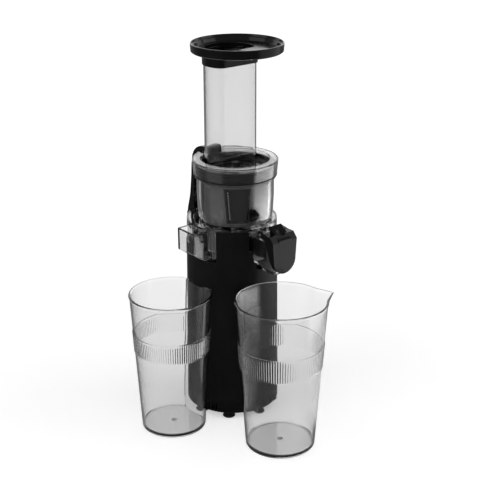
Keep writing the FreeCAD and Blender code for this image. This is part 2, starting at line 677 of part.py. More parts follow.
def gear_shape(teeth, bore, turned):
    """A spur gear with involute flanks; turned is the angle of one tooth in degrees."""
    module = float(S.gear_module)
    count = int(round(float(teeth)))
    pitch_radius = module * count / 2
    base_radius = pitch_radius * math.cos(math.radians(20.0))
    outer = pitch_radius + 0.9 * module
    root = pitch_radius - 1.2 * module
    half = math.pi / (2 * count) - float(S.backlash) / (2 * pitch_radius)
    involute = math.tan(math.radians(20.0)) - math.radians(20.0)
    flank = []
    start = max(base_radius, root + 0.05)
    for step in range(5):
        radius = start + (outer - start) * step / 4
        angle = math.acos(min(1.0, base_radius / radius))
        flank.append((radius, half + involute - (math.tan(angle) - angle)))
    points = []
    for tooth in range(count):
        middle = math.radians(float(turned)) + 2 * math.pi * tooth / count
        for radius, offset in [(root, flank[0][1])] + flank:
            points.append((radius, middle - offset))
        for radius, offset in reversed([(root, flank[0][1])] + flank):
            points.append((radius, middle + offset))
    corners = [FreeCAD.Vector(r * math.cos(a), r * math.sin(a), 0) for r, a in points]
    face = Part.Face(Part.makePolygon(corners + corners[:1]))
    solid = face.extrude(FreeCAD.Vector(0, 0, float(S.gear_tall)))
    return solid.cut(Part.makeCylinder(float(bore), float(S.gear_tall)))


def gears():
    tall = S.gear_tall
    # Teeth point along the line between the axes on one gear, and gaps on its mate.
    out = feature("output_wheel", gear_shape(S.output_teeth, S.drive_round, 90.0))
    place(out, 0.0, SHAFT_Y, SECOND_GEARS)
    node("output_gear", out)
    half_tooth = 180.0 / float(S.pinion_teeth)
    small = gear_shape(S.pinion_teeth, S.shaft_radius + S.running_gap, half_tooth - 90.0)
    small.translate(FreeCAD.Vector(0, 0, float(SECOND_GEARS)))
    large = gear_shape(S.idler_teeth, S.shaft_radius + S.running_gap, -90.0)
    large.translate(FreeCAD.Vector(0, 0, float(FIRST_GEARS)))
    sleeve_low = float(FIRST_GEARS + tall)
    sleeve_tall = float(SECOND_GEARS) - sleeve_low
    sleeve = Part.makeCylinder(4.5, sleeve_tall, FreeCAD.Vector(0, 0, sleeve_low))
    sleeve = sleeve.cut(Part.makeCylinder(float(S.shaft_radius + S.running_gap), sleeve_tall,
                                          FreeCAD.Vector(0, 0, sleeve_low)))
    idler = feature("idler", small.fuse(large).fuse(sleeve).removeSplitter())
    place(idler, 0.0, IDLER_Y)
    node("idler_gear", idler)
    pinion = feature("pinion", gear_shape(S.pinion_teeth, S.shaft_radius, 90.0 + half_tooth))
    place(pinion, 0.0, MOTOR_Y, FIRST_GEARS)
    node("motor_pinion", pinion)
    node("idler_pin", cylinder("idler_post", S.shaft_radius, CASE_LID - CASE_FLOOR, 0.0, IDLER_Y, CASE_FLOOR))
    shell = lathe("case_shell", [
        (0, S.gearcase_low), (S.gearcase_radius, S.gearcase_low), (S.gearcase_radius, CASE_LID),
        (S.gearcase_radius - S.gearcase_wall, CASE_LID), (S.gearcase_radius - S.gearcase_wall, CASE_FLOOR),
        (0, CASE_FLOOR),
    ])
    opening = cylinder("case_motor_hole", S.shaft_radius + 1.0, 6.0, 0.0, MOTOR_Y, S.gearcase_low - EPS)
    node("gear_case", cut("case", shell, opening))
    plate = cylinder("cover_plate", S.gearcase_radius, 2.4, z=CASE_LID)
    leg = cylinder("cover_leg", 4.0, DECK_LOW - S.gearcase_high, 40.0, 0.0, S.gearcase_high)
    seat = cylinder("cover_seat", S.drive_round + 6.0, 6.0, 0.0, SHAFT_Y, CASE_LID)
    doc.recompute()
    legs = copies("cover_legs", leg.Shape, ring_places(3, 30.0))
    bore = cylinder("cover_bore", S.drive_round + 4.0, 12.0, 0.0, SHAFT_Y, CASE_LID - EPS)
    node("gear_cover", cut("cover_top", fuse("cover_whole", plate, legs, seat), bore))
    node("output_bearing", lathe("output_bearing_ring", [
        (S.drive_round + S.running_gap, CASE_LID), (S.drive_round + 4.0, CASE_LID),
        (S.drive_round + 4.0, CASE_LID + 6.0), (S.drive_round + S.running_gap, CASE_LID + 6.0),
    ], 0.0, SHAFT_Y))


def hexagon(name, flats, low, high):
    """A six-sided bar on the drive axis."""
    bar = doc.addObject("Part::Prism", name)
    bar.Polygon = 6
    bind(bar, Circumradius=flats / math.sqrt(3.0), Height=high - low)
    place(bar, 0.0, SHAFT_Y, low)
    return bar


def drive_shaft():
    rod = cylinder("drive_rod", S.drive_round, HEX_LOW - SECOND_GEARS, 0.0, SHAFT_Y, SECOND_GEARS)
    bar = hexagon("drive_hex", S.drive_flats, HEX_LOW, HEX_TOP)
    node("drive_shaft", fuse("drive", rod, bar))
    node("shaft_seal", lathe("seal_ring", [
        (S.drive_round + S.running_gap, DECK_LOW), (S.seal_radius, DECK_LOW), (S.seal_radius, S.deck_top),
        (S.seal_radius - 2.0, S.deck_top + 1.6), (S.drive_round + S.running_gap, S.deck_top + 1.6),
    ], 0.0, SHAFT_Y))


def electrics():
    board_y = S.board_inward - R_LOW
    front = board_y + S.board_thick
    node("control_board", block("board", S.board_width, S.board_thick, S.board_tall, -S.board_width / 2,
                                board_y, S.board_low))
    relay = block("relay", S.relay_width, S.relay_deep, S.relay_tall, 4.0 - S.board_width / 2, front,
                  S.board_low + 7.0)
    can = cylinder("capacitor", S.capacitor_radius, 9.0, S.board_width / 2 - S.capacitor_radius - 6.0,
                   front, S.board_low + S.board_tall / 2 - 3.0, along="Y")
    node("board_parts", together("board_pair", relay, can))
    # The switch hangs from the platform, over the gear cover.
    low = higher_of(DECK_LOW - S.interlock_tall, S.gearcase_high + 0.5)
    switch = block("micro_body", S.interlock_width, S.interlock_long, DECK_LOW - low, S.interlock_side,
                   -S.interlock_long / 2, low)
    node("interlock_switch", switch)


# Juicing set: bowl, chute, spout, strainer, auger.
BOWL_Y = SHAFT_Y
FLOOR_TOP = S.bowl_floor + S.bowl_floor_thick
FLANGE_TOP = S.lid_bottom - S.gasket_thick
DISC_LOW = S.bowl_floor - S.skirt_wall
BEND = S.bowl_bend


def bowl():
    side = S.bowl_radius - S.bowl_wall
    side_low = S.bowl_radius_low - S.bowl_wall
    cup = lathe("bowl_cup", [
        (S.hole_bowl, S.bowl_floor - S.skirt_wall), (S.bowl_radius_low - BEND, S.bowl_floor - S.skirt_wall),
        (S.bowl_radius_low - BEND, S.bowl_floor),
        (S.bowl_radius_low - BEND * 0.5, S.bowl_floor + BEND * 0.13),
        (S.bowl_radius_low - BEND * 0.13, S.bowl_floor + BEND * 0.5),
        (S.bowl_radius_low, S.bowl_floor + BEND),
        (S.bowl_radius, S.bowl_floor + BEND * 4), (S.bowl_radius, FLANGE_TOP - S.flange_thick),
        (S.flange_radius, FLANGE_TOP - S.flange_thick), (S.flange_radius, FLANGE_TOP),
        (S.bowl_radius, FLANGE_TOP), (S.bowl_radius, S.bowl_rim), (side, S.bowl_rim),
        (side, S.bowl_floor + BEND * 4), (side_low, S.bowl_floor + BEND),
        (side_low - 1.6, FLOOR_TOP), (S.hole_bowl, FLOOR_TOP),
    ], 0.0, BOWL_Y)
    disc = cylinder("bowl_disc", S.skirt_radius, S.skirt_wall, z=DISC_LOW)
    skirt_low = S.base_side_top + S.side_gap
    skirt = cut("skirt", cylinder("skirt_out", S.skirt_radius, DISC_LOW - skirt_low, z=skirt_low),
                cylinder("skirt_in", S.skirt_radius - S.skirt_wall, DISC_LOW - skirt_low + EPS * 2,
                         z=skirt_low - EPS),
                sector("skirt_front", S.skirt_radius + EPS, skirt_low - EPS, DISC_LOW,
                       S.front_edge_chute - 1.0, S.front_edge_spout + 1.0))
    hub = cut("hub", cylinder("hub_out", S.hub_radius, DISC_LOW - S.deck_top, z=S.deck_top),
              cylinder("hub_in", S.hub_radius - S.skirt_wall, DISC_LOW - S.deck_top + EPS * 2,
                       z=S.deck_top - EPS))
    port_low = S.deck_top - EPS
    chute_port = block("chute_port", 20.0, (S.chute_half + 0.2) * 2, DISC_LOW - port_low,
                       -(S.skirt_radius + EPS), -(S.chute_half + 0.2), port_low)
    half = S.spout_notch_half - S.spout_inset + 0.2
    spout_port = block("spout_port", half * 2, 20.0, DISC_LOW - port_low, -half, -(S.skirt_radius + EPS),
                       port_low)
    stem_hole = cylinder("bowl_stem_hole", S.hole_bowl, 20.0, 0.0, BOWL_Y, DISC_LOW - 8.0)
    pulp_hole = block("pulp_hole", 9.0, 14.0, 12.0, -34.0, BOWL_Y - 7.0, DISC_LOW - 4.0)
    juice_hole = block("juice_hole", 12.0, 7.0, 12.0, -6.0, BOWL_Y - 35.0, DISC_LOW - 4.0)
    whole = fuse("bowl_whole", cup, disc, skirt, hub)
    node("bowl", cut("bowl_open", whole, chute_port, spout_port, stem_hole, pulp_hole, juice_hole))
    node("bowl_seal", lathe("bowl_seal_ring", [
        (S.stem_radius + S.running_gap, DISC_LOW), (S.hole_bowl, DISC_LOW), (S.hole_bowl, FLOOR_TOP),
        (S.hole_bowl - 1.0, FLOOR_TOP + 1.4), (S.stem_radius + S.running_gap, FLOOR_TOP + 1.4),
    ], 0.0, BOWL_Y))
    seal_high = S.bowl_floor + BEND * 3.2
    seal_low = S.bowl_floor + BEND + 1.0
    inner = S.strainer_radius + 0.5
    outer = S.bowl_radius_low - S.bowl_wall - 0.15
    ring = cut("spout_seal_ring", sector("spout_seal_wedge", outer, seal_low, seal_high, 254.0, 272.0),
               cylinder("spout_seal_core", inner, seal_high, z=0.0))
    place(ring, 0.0, BOWL_Y)
    node("spout_seal", ring)


def pulp_chute():
    wall = S.clear_wall
    inner_x = -24.0
    floor_z = S.deck_top + 1.6
    outside = prism("chute_outside", [
        (-S.chute_end, S.chute_top), (-S.chute_end, S.chute_lip),
        (-S.chute_end + 12.2, S.chute_notch_floor + 1.3),
        (inner_x, floor_z), (inner_x, S.chute_top),
    ], S.chute_half, "XZ_Plane")
    mouth_x = -S.chute_end + 13.2
    mouth_low = lower_of(S.chute_lip, S.chute_notch_floor) - 4.0
    inside = prism("chute_inside", [
        (-S.chute_end + wall, S.chute_top - wall), (-S.chute_end + wall, mouth_low), (mouth_x, mouth_low),
        (mouth_x, S.chute_notch_floor + 3.4), (inner_x - wall, floor_z + wall),
        (inner_x - wall, S.chute_top - wall),
    ], S.chute_half - wall, "XZ_Plane")
    inlet = block("chute_inlet", 11.0, 16.0, 8.0, -36.0, BOWL_Y - 8.0, S.chute_top - wall - 2.0)
    node("pulp_chute", cut("chute", outside, inside, inlet))


def juice_spout():
    wall = S.clear_wall
    low = S.spout_low
    side = prism("spout_side", [
        (-24.0, S.spout_top), (-73.0, S.spout_top), (-S.spout_end - 4.5, low + 7.5), (-S.spout_end, low),
        (-66.0, low), (-54.0, low + 7.5), (-24.0, S.deck_top + 1.6),
    ], S.spout_notch_half + EPS, "YZ_Plane")
    depth = (as_size(-100.0), as_size(-20.0))
    body = common("spout_body", side, spout_section("spout_form", S.spout_inset, *depth))
    hollow_side = prism("spout_hollow_side", [
        (-26.0, S.spout_top - wall), (-95.0, S.spout_top - wall), (-95.0, low + 3.0),
        (-S.spout_end, low + wall), (-66.0 + wall / 2, low + wall), (-54.0 + wall / 2, low + 7.5 + wall),
        (-26.0, S.deck_top + 1.6 + wall),
    ], S.spout_notch_half + EPS, "YZ_Plane")
    hollow = common("spout_hollow", hollow_side,
                    spout_section("spout_hollow_form", S.spout_inset + wall, *depth))
    inlet = block("spout_inlet", 14.0, 9.0, 8.0, -7.0, BOWL_Y - 36.0, S.spout_top - wall - 2.0)
    lugs = []
    # The lugs start inside the spout and reach round the pin, wherever the pin is.
    lug_low = lower_of(S.spout_top - 2.0, S.cap_pivot_height - 4.0)
    for index, x in enumerate((-S.cap_half + 2.4, S.cap_half - 4.8)):
        lugs.append(block("spout_lug" + str(index), 2.4, 8.0, S.cap_pivot_height + 3.5 - lug_low, x,
                          -S.cap_pivot_out - 4.0, lug_low))
    bore = cylinder("spout_pin_hole", S.cap_pin_radius, S.cap_half * 2, -S.cap_half, -S.cap_pivot_out,
                    S.cap_pivot_height, along="X")
    shell = cut("spout_shell", body, hollow, inlet)
    node("juice_spout", cut("spout", fuse("spout_whole", shell, *lugs), bore))


def cap_form(name, inset, low_y, high_y):
    """The cap's outline seen from the front: straight sides and a round lower end."""
    small = S.cap_half - 1.5 - inset
    wide = S.cap_half - inset
    centre_z = S.cap_bottom + S.cap_half - 1.5
    over = S.cap_pivot_height + 12.0
    column = prism(name + "_sides", [
        (-small, centre_z), (small, centre_z), (wide, S.cap_pivot_height - 6.0), (wide, over), (-wide, over),
        (-wide, S.cap_pivot_height - 6.0),
    ], (high_y - low_y) / 2, "XZ_Plane")
    place(column, 0.0, (low_y + high_y) / 2, 0.0)
    end = cylinder(name + "_end", small, high_y - low_y, 0.0, low_y, centre_z, along="Y")
    return fuse(name, column, end)


def drip_cap():
    front = -S.cap_front
    top = S.cap_pivot_height + 1.6
    wall = S.cap_wall
    low = S.cap_bottom
    depth = (as_size(-100.0), as_size(-50.0))
    side = prism("cap_side", [
        (front + 15.6, top), (front + 5.5, top), (front, top - 6.5), (front, low - EPS),
        (front + 1.6, low - EPS), (front + 15.6, top - 3.4),
    ], S.cap_half + EPS, "YZ_Plane")
    inner = prism("cap_inner", [
        (front + 30.0, top - wall), (front + 6.3, top - wall), (front + wall, top - 7.2),
        (front + wall, low - EPS), (front + 30.0, low - EPS),
    ], S.cap_half + EPS, "YZ_Plane")
    shell = cut("cap_shell", common("cap_outer", side, cap_form("cap_out_form", as_size(0.0), *depth)),
                common("cap_cavity", inner, cap_form("cap_in_form", wall, *depth)))
    thumb = prism("cap_thumb", [
        (front + 16.4, top + 7.2), (front - 0.2, top - 5.0), (front - 0.2, top - 9.0),
        (front + 15.0, top - 0.4),
    ], S.cap_half / 2, "YZ_Plane")
    dimple = doc.addObject("Part::Sphere", "cap_dimple")
    bind(dimple, Radius=8.0)
    place(dimple, 0.0, front + 8.1 - 3.7, top + 1.1 + 5.0)
    ears = []
    for index, x in enumerate((-S.cap_half, S.cap_half - 2.0)):
        ear = prism("cap_ear" + str(index), [
            (front + 17.6, top - 5.6), (3.6 - S.cap_pivot_out, top - 4.8), (3.6 - S.cap_pivot_out, top + 1.8),
            (front + 13.0, top), (front + 13.0, top - 5.6),
        ], as_size(1.0), "YZ_Plane")
        place(ear, x + 1.0)
        ears.append(ear)
    bore = cylinder("cap_pin_hole", S.cap_pin_radius + S.running_gap, S.cap_half * 2 + EPS * 2,
                    -S.cap_half - EPS, -S.cap_pivot_out, S.cap_pivot_height, along="X")
    node("drip_cap", cut("cap", fuse("cap_whole", shell, thumb, *ears), dimple, bore))
    node("cap_pin", cylinder("cap_rod", S.cap_pin_radius, S.cap_half * 2, -S.cap_half, -S.cap_pivot_out,
                             S.cap_pivot_height, along="X"))
    # The pad ends under the spout's top, and under the cap's top too.
    pad_high = lower_of(S.spout_top - 4.5, top - 11.2)
    pad = prism("cap_pad", [
        (-S.spout_end + 4.0, pad_high), (-S.spout_end - 4.0, low + 7.0), (-S.spout_end - 6.2, low + 7.0),
        (-S.spout_end + 1.8, pad_high),
    ], as_size(9.0), "YZ_Plane")
    place(pad, 0.0, -1.2)
    stem = cylinder("cap_pad_stem", 4.0, 9.0, 0.0, front + wall, low + 22.0, along="Y")
    cutter = block("cap_pad_trim", 12.0, 20.0, 12.0, -6.0, -S.spout_end + 1.0, low + 16.0)
    node("cap_seal", fuse("cap_seal_whole", pad, cut("cap_stem", stem, cutter)))


def strainer():
    radius, low_radius, wall = S.strainer_radius, S.strainer_radius_low, S.strainer_wall
    top = FLANGE_TOP + 1.0
    basket = lathe("basket", [
        (14.0, FLOOR_TOP), (low_radius, FLOOR_TOP), (radius, top - 2.0),
        (S.bowl_radius - S.bowl_wall - 0.3, top - 2.0), (S.bowl_radius - S.bowl_wall - 0.3, top),
        (radius - wall, top), (low_radius - wall, FLOOR_TOP + 2.0), (14.0, FLOOR_TOP + 2.0),
    ], 0.0, BOWL_Y)
    half = S.window_width / 2
    pane = prism("window", [
        (-half, S.window_high), (3.0 - half, S.window_low), (half - 3.0, S.window_low),
        (half, S.window_high),
    ], as_size(8.0), "YZ_Plane")
    place(pane, radius)
    pulp = block("basket_pulp_hole", 9.0, 14.0, 6.0, -34.0, -7.0, FLOOR_TOP - EPS)
    doc.recompute()
    panes = copies("windows", pane.Shape, ring_places(4, float(S.window_angle)))
    tools = together("basket_openings", panes, pulp)
    place(tools, 0.0, BOWL_Y)
    node("strainer_frame", cut("strainer", basket, tools))
    thin = S.mesh_thick
    node("strainer_mesh", lathe("mesh", [
        (low_radius - wall - thin, FLOOR_TOP + 2.0), (low_radius - wall, FLOOR_TOP + 2.0),
        (radius - wall, top), (radius - wall - thin, top),
    ], 0.0, BOWL_Y))


def auger():
    foot = FLOOR_TOP + 3.0
    top = S.lid_well_floor + 6.0
    flights_top = S.lid_well_floor - 5.0
    core = lathe("auger_core", [
        (0, HEX_TOP + 2.0), (5.95, HEX_TOP + 2.0), (5.95, DISC_LOW - 8.0), (S.stem_radius, DISC_LOW - 8.0),
        (S.stem_radius, foot), (S.auger_radius - 2.0, foot), (S.auger_radius - 2.0, foot + 3.0),
        (S.auger_core_low, foot + 6.0), (S.auger_core_high, flights_top), (5.0, flights_top + 2.4),
        (4.0, top), (0, top),
    ])
    doc.recompute()
    solid = core.Shape
    thread_low = float(foot) + 3.5
    tall = float(flights_top) - thread_low - 3.0
    inner = float(S.auger_core_high) - 3.0
    outer = float(S.auger_radius)
    helix = Part.makeHelix(float(S.auger_pitch), tall, outer)
    helix.translate(FreeCAD.Vector(0, 0, thread_low))
    ribbon = Part.makePolygon([
        FreeCAD.Vector(outer, 0, thread_low), FreeCAD.Vector(inner, 0, thread_low - 0.2),
        FreeCAD.Vector(inner, 0, thread_low + 3.4), FreeCAD.Vector(outer, 0, thread_low + 1.6),
        FreeCAD.Vector(outer, 0, thread_low),
    ])
    flight = Part.Wire(helix).makePipeShell([ribbon], True, True)
    if flight.Volume < 0:
        flight.reverse()
    solid = solid.fuse(flight).removeSplitter()
    screw = feature("auger_screw", solid)
    place(screw, 0.0, BOWL_Y)
    node("auger", screw)


def lid():
    skin = S.lid_skin
    well = S.lid_well_radius
    ring = lathe("lid_ring", [
        (S.lid_radius_low, S.lid_bottom), (S.lid_radius, S.lid_top - 1.2), (S.lid_radius - 0.8, S.lid_top),
        (well + 0.5, S.lid_top), (well, S.lid_top - 0.5), (well, S.lid_well_floor), (0, S.lid_well_floor),
        (0, S.lid_well_floor - skin), (well + skin, S.lid_well_floor - skin), (well + skin, S.lid_top - skin),
        (S.lid_radius - skin - 0.4, S.lid_top - skin), (S.lid_radius_low - skin, S.lid_bottom),
    ], 0.0, BOWL_Y)
    floor_low = S.lid_well_floor - skin
    neck = d_column("lid_neck", S.tube_radius, S.tube_flat, S.tube_corner, floor_low, S.lid_neck_top)
    throat = d_column("lid_throat", S.tube_radius - S.tube_wall, S.tube_flat - S.tube_wall,
                      S.tube_corner - S.tube_wall, floor_low - EPS, S.lid_neck_top + EPS)
    notch = block("lid_notch", S.arm_half_width * 2 + 1.6, 16.0, 12.0, -(S.arm_half_width + 0.8),
                  S.tube_back + S.tube_radius + 0.4, S.bowl_rim + 0.3)
    node("lid", cut("lid_open", fuse("lid_whole", ring, neck), throat, notch))
    node("lid_gasket", lathe("gasket", [
        (S.bowl_radius + 0.02, FLANGE_TOP), (S.lid_radius_low + 0.2, FLANGE_TOP),
        (S.lid_radius_low + 0.2, S.lid_bottom), (S.bowl_radius + 0.02, S.lid_bottom),
    ], 0.0, BOWL_Y))


def feed_tube():
    outside = d_column("tube_outside", S.tube_radius, S.tube_flat, S.tube_corner, S.lid_neck_top, S.tube_top)
    bore = d_column("tube_bore", S.tube_radius - S.tube_wall, S.tube_flat - S.tube_wall,
                    S.tube_corner - S.tube_wall, S.lid_neck_top - EPS, S.tube_top + EPS)
    node("feed_tube", cut("tube", outside, bore))


def hopper_tray():
    radius = S.tray_radius
    low = S.tray_bottom
    wall = S.tray_wall
    dish = lathe("dish", [
        (0, low), (radius - 2.4, low), (radius - 0.6, low + 1.2), (radius, S.tray_top - 0.6),
        (radius - 0.5, S.tray_top), (radius - wall + 0.6, S.tray_top), (radius - wall, S.tray_top - 2.6),
        (radius - wall - 1.6, S.tray_top - 2.8), (radius - wall - 3.0, low + wall + 1.2),
        (0, low + wall - 0.4),
    ], 0.0, -S.tray_forward)
    reach = S.slip_fit + S.collar_wall
    collar = d_column("collar", S.tube_radius + reach, S.tube_flat + reach, S.tube_corner + reach,
                      S.collar_bottom, low + 0.4)
    socket = d_column("collar_socket", S.tube_radius + S.slip_fit, S.tube_flat + S.slip_fit,
                      S.tube_corner + S.slip_fit, S.collar_bottom - EPS, S.tube_top)
    mouth = d_column("tray_mouth", S.tube_radius - S.tube_wall, S.tube_flat - S.tube_wall,
                     S.tube_corner - S.tube_wall, S.tube_top - EPS, S.tray_top + EPS)
    node("hopper_tray", cut("tray", fuse("tray_whole", dish, collar), socket, mouth))


def locking_arm():
    back = S.arm_pivot_back
    pivot = S.arm_pivot_height
    # The hook lies in the lid's notch, over the rim of the bowl.
    roof = higher_of(S.lid_top, S.bowl_rim + 4.5)
    top = roof + 4.6
    under = roof - 2.3
    lip = S.tube_back + S.tube_radius + 1.0
    tall = top - pivot
    shaft = prism("arm_side", [
        (back - 6.4, pivot), (back + 6.6, pivot), (back + 7.0, pivot + tall * 0.035),
        (back + 6.6, pivot + tall * 0.085), (back + 4.8, pivot + tall * 0.16),
        (back + 2.8, pivot + tall * 0.235), (back + 1.2, pivot + tall * 0.32),
        (back + 0.2, pivot + tall * 0.42), (back - 1.1, pivot + tall * 0.54),
        (back - 2.1, pivot + tall * 0.715), (back - 3.5, top - 16.2), (back - 5.0, top - 11.8),
        (back - 7.4, top - 8.0), (back - 10.8, top - 4.7), (back - 15.4, top - 2.0), (back - 20.6, top - 0.4),
        (lip + 5.0, top), (lip + 1.4, top - 0.6), (lip, top - 2.4), (lip, S.bowl_rim + 1.0),
        (lip + 2.8, S.bowl_rim + 1.0), (lip + 4.4, under), (back - 22.0, under), (back - 17.0, top - 8.6),
        (back - 12.8, top - 12.4), (back - 10.2, top - 17.6), (back - 8.6, pivot + tall * 0.7),
        (back - 7.6, pivot + tall * 0.56), (back - 6.6, pivot + tall * 0.42),
        (back - 5.9, pivot + tall * 0.235), (back - 5.6, pivot + tall * 0.085),
    ], S.arm_half_width, "YZ_Plane")
    eye = cylinder("arm_round", S.arm_eye, S.arm_half_width * 2, -S.arm_half_width, back, pivot, along="X")
    bore = cylinder("arm_bore", S.arm_pin_radius + S.running_gap, S.arm_half_width * 4, -S.arm_half_width * 2,
                    back, pivot, along="X")
    node("locking_arm", cut("arm", fuse("arm_whole", shaft, eye), bore))
    ear_in = S.arm_half_width + S.side_gap
    ear_out = ear_in + 2.6
    # A plate on the bowl's skirt, over the base, with two ears that stand outside the base.
    plate_low = S.base_side_top + 1.5
    plate_high = higher_of(S.base_side_top + 25.0, pivot - 3.0)
    plate = block("bracket_plate", ear_out * 2, 3.0, plate_high - plate_low, -ear_out,
                  S.skirt_radius + 0.1, plate_low)
    ear_low = lower_of(pivot - 7.0, plate_high - 6.0)
    ear_high = higher_of(pivot + 5.0, plate_low + 6.0)
    ear_start = R_LOW + 0.4
    arms = []
    for index, x in enumerate((-ear_out, ear_in)):
        arms.append(block("bracket_ear" + str(index), 2.6, back + 4.0 - ear_start, ear_high - ear_low, x,
                          ear_start, ear_low))
    lug_bore = cylinder("bracket_bore", S.arm_pin_radius, (ear_out + 1.4) * 2, -(ear_out + 1.4), back, pivot,
                        along="X")
    node("arm_bracket", cut("bracket", fuse("bracket_whole", plate, *arms), lug_bore))
    node("arm_pin", cylinder("arm_rod", S.arm_pin_radius, ear_out * 2, -ear_out, back, pivot, along="X"))


# The two cups.
def cup_radius(foot, rim, height, z):
    """Outside radius of a tapered cup at a height."""
    return foot + (rim - foot) * (z / height)


def band(name, foot, rim, height, low, high):
    """A ring that stands a little out of a tapered cup's wall."""
    wall_low = cup_radius(foot, rim, height, low)
    wall_high = cup_radius(foot, rim, height, high)
    out = S.band_proud
    return lathe(name, [
        (wall_low - 0.5, low), (wall_low + out * 0.5, low), (wall_low + out, low + 0.6),
        (wall_high + out, high - 0.6), (wall_high + out * 0.5, high), (wall_high - 0.5, high),
    ])


def beak(name, inset, low, high):
    """A pouring beak: a three-sided wedge that grows out of the rim."""
    turned = math.radians(float(S.beak_angle))
    tip = float(S.beak_reach) - float(inset) * 1.6
    rim = float(S.jug_rim_radius) - float(inset)

    def corner(radius, degrees, z):
        angle = turned + math.radians(degrees)
        return FreeCAD.Vector(radius * math.cos(angle), radius * math.sin(angle), z)

    def triangle(reach, spread, z):
        corners = [corner(rim - 3.0, -spread, z), corner(reach, 0, z), corner(rim - 3.0, spread, z)]
        return Part.makePolygon(corners + corners[:1])

    wedge = Part.makeLoft([triangle(rim - 2.6, 2.0, low), triangle(tip, 21.0, high)], True, True)
    return feature(name, wedge)


def juice_jug():
    foot, rim, high = S.jug_foot_radius, S.jug_rim_radius, S.jug_height
    wall = S.cup_wall
    bead_low = high - S.bead_height
    floor_inner = cup_radius(foot, rim, high, S.cup_floor) - wall
    outside = lathe("jug_outside", [
        (0, 0.8), (foot - 3.0, 0.8), (foot - 2.2, 0), (foot - 0.6, 0), (foot, 0.6), (rim, bead_low),
        (rim + S.bead_proud, bead_low + 0.8), (rim + S.bead_proud, high - 0.6), (rim + 0.2, high), (0, high),
    ])
    inside = lathe("jug_inside", [
        (0, S.cup_floor), (floor_inner - 2.0, S.cup_floor), (floor_inner, S.cup_floor + 2.0),
        (rim - wall, bead_low), (rim - wall, high + EPS), (0, high + EPS),
    ])
    lip = beak("jug_beak", as_size(0.0), float(high) - 30.0, float(high))
    hollow = beak("jug_beak_hollow", wall, float(high) - 29.0, float(high) + 0.01)
    ring = band("jug_band", foot, rim, high, S.jug_band_low, S.jug_band_high)
    whole = fuse("jug_whole", outside, lip, ring)
    jug = cut("jug", whole, inside, hollow)
    place(jug, S.jug_x, -S.jug_forward)
    node("juice_jug", jug)


def pulp_cup():
    foot, rim, high = S.cup_foot_radius, S.cup_rim_radius, S.cup_height
    wall = S.cup_wall
    bead_low = high - S.bead_height
    floor_inner = cup_radius(foot, rim, high, S.cup_floor) - wall
    outside = lathe("cup_outside", [
        (0, 0.8), (foot - 3.0, 0.8), (foot - 2.2, 0), (foot - 0.6, 0), (foot, 0.6), (rim, bead_low),
        (rim + S.bead_proud, bead_low + 0.8), (rim + S.bead_proud, high - 0.6), (rim + 0.2, high), (0, high),
    ], S.cup_x, -S.cup_forward)
    ring = band("cup_band", foot, rim, high, S.cup_band_low, S.cup_band_high)
    place(ring, S.cup_x, -S.cup_forward)
    inside = lathe("cup_inside", [
        (0, S.cup_floor), (floor_inner - 2.0, S.cup_floor), (floor_inner, S.cup_floor + 2.0),
        (rim - wall, bead_low), (rim - wall, high + EPS), (0, high + EPS),
    ], S.cup_x, -S.cup_forward)
    extra = (S.cup_hollow_low - S.cup_hollow_high) * EPS / high
    low, top = S.cup_hollow_low + extra, S.cup_hollow_high - extra
    hollow = cone("cup_hollow_side", low, top, high + EPS * 2, z=-EPS)
    hollow_in = cone("cup_hollow_inner", low + wall, top + wall, high + EPS * 4, z=-EPS)
    whole = cut("cup_outer", fuse("cup_whole", outside, ring), hollow)
    node("pulp_cup", cut("cup", whole, cut("cup_room", inside, hollow_in)))


def check(thing):
    """Stop if an object of the document failed."""
    bad = [word for word in thing.State if word in ("Invalid", "Error")]
    if bad:
        raise RuntimeError(thing.Name + " is " + ", ".join(bad))


def main():
    base_housing()
    bottom_cover()
    rubber_feet()
    base_screws()
    switch_parts()
    cord_gland()
    motor()
    gears()
    drive_shaft()
    electrics()
    bowl()
    pulp_chute()
    juice_spout()
    drip_cap()
    strainer()
    auger()
    lid()
    feed_tube()
    hopper_tray()
    locking_arm()
    juice_jug()
    pulp_cup()
    doc.recompute()
    for thing in doc.Objects:
        check(thing)
    for name, thing in nodes.items():
        shape = thing.Shape
        if shape.isNull() or not shape.isValid() or not shape.Solids:
            raise RuntimeError(name + " has no valid solid")
    os.makedirs("parts", exist_ok=True)
    for name, thing in nodes.items():
        thing.Shape.exportStep("parts/" + name + ".step")
        box = thing.Shape.BoundBox
        print(name, len(thing.Shape.Solids), "solids", round(thing.Shape.Volume / 1000, 2), "cm3",
              [round(v, 1) for v in (box.XMin, box.XMax, box.YMin, box.YMax, box.ZMin, box.ZMax)])
    print(len(nodes), "nodes")


main()
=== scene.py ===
"""Looks of a cold press juicer: smoky clear bowl, tube and cups on a matte black motor base.

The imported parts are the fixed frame. Parts with the right shape keep their mesh and get a finish,
and moulded parts are copied with softened edges or modelled anew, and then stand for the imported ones.
"""

import math

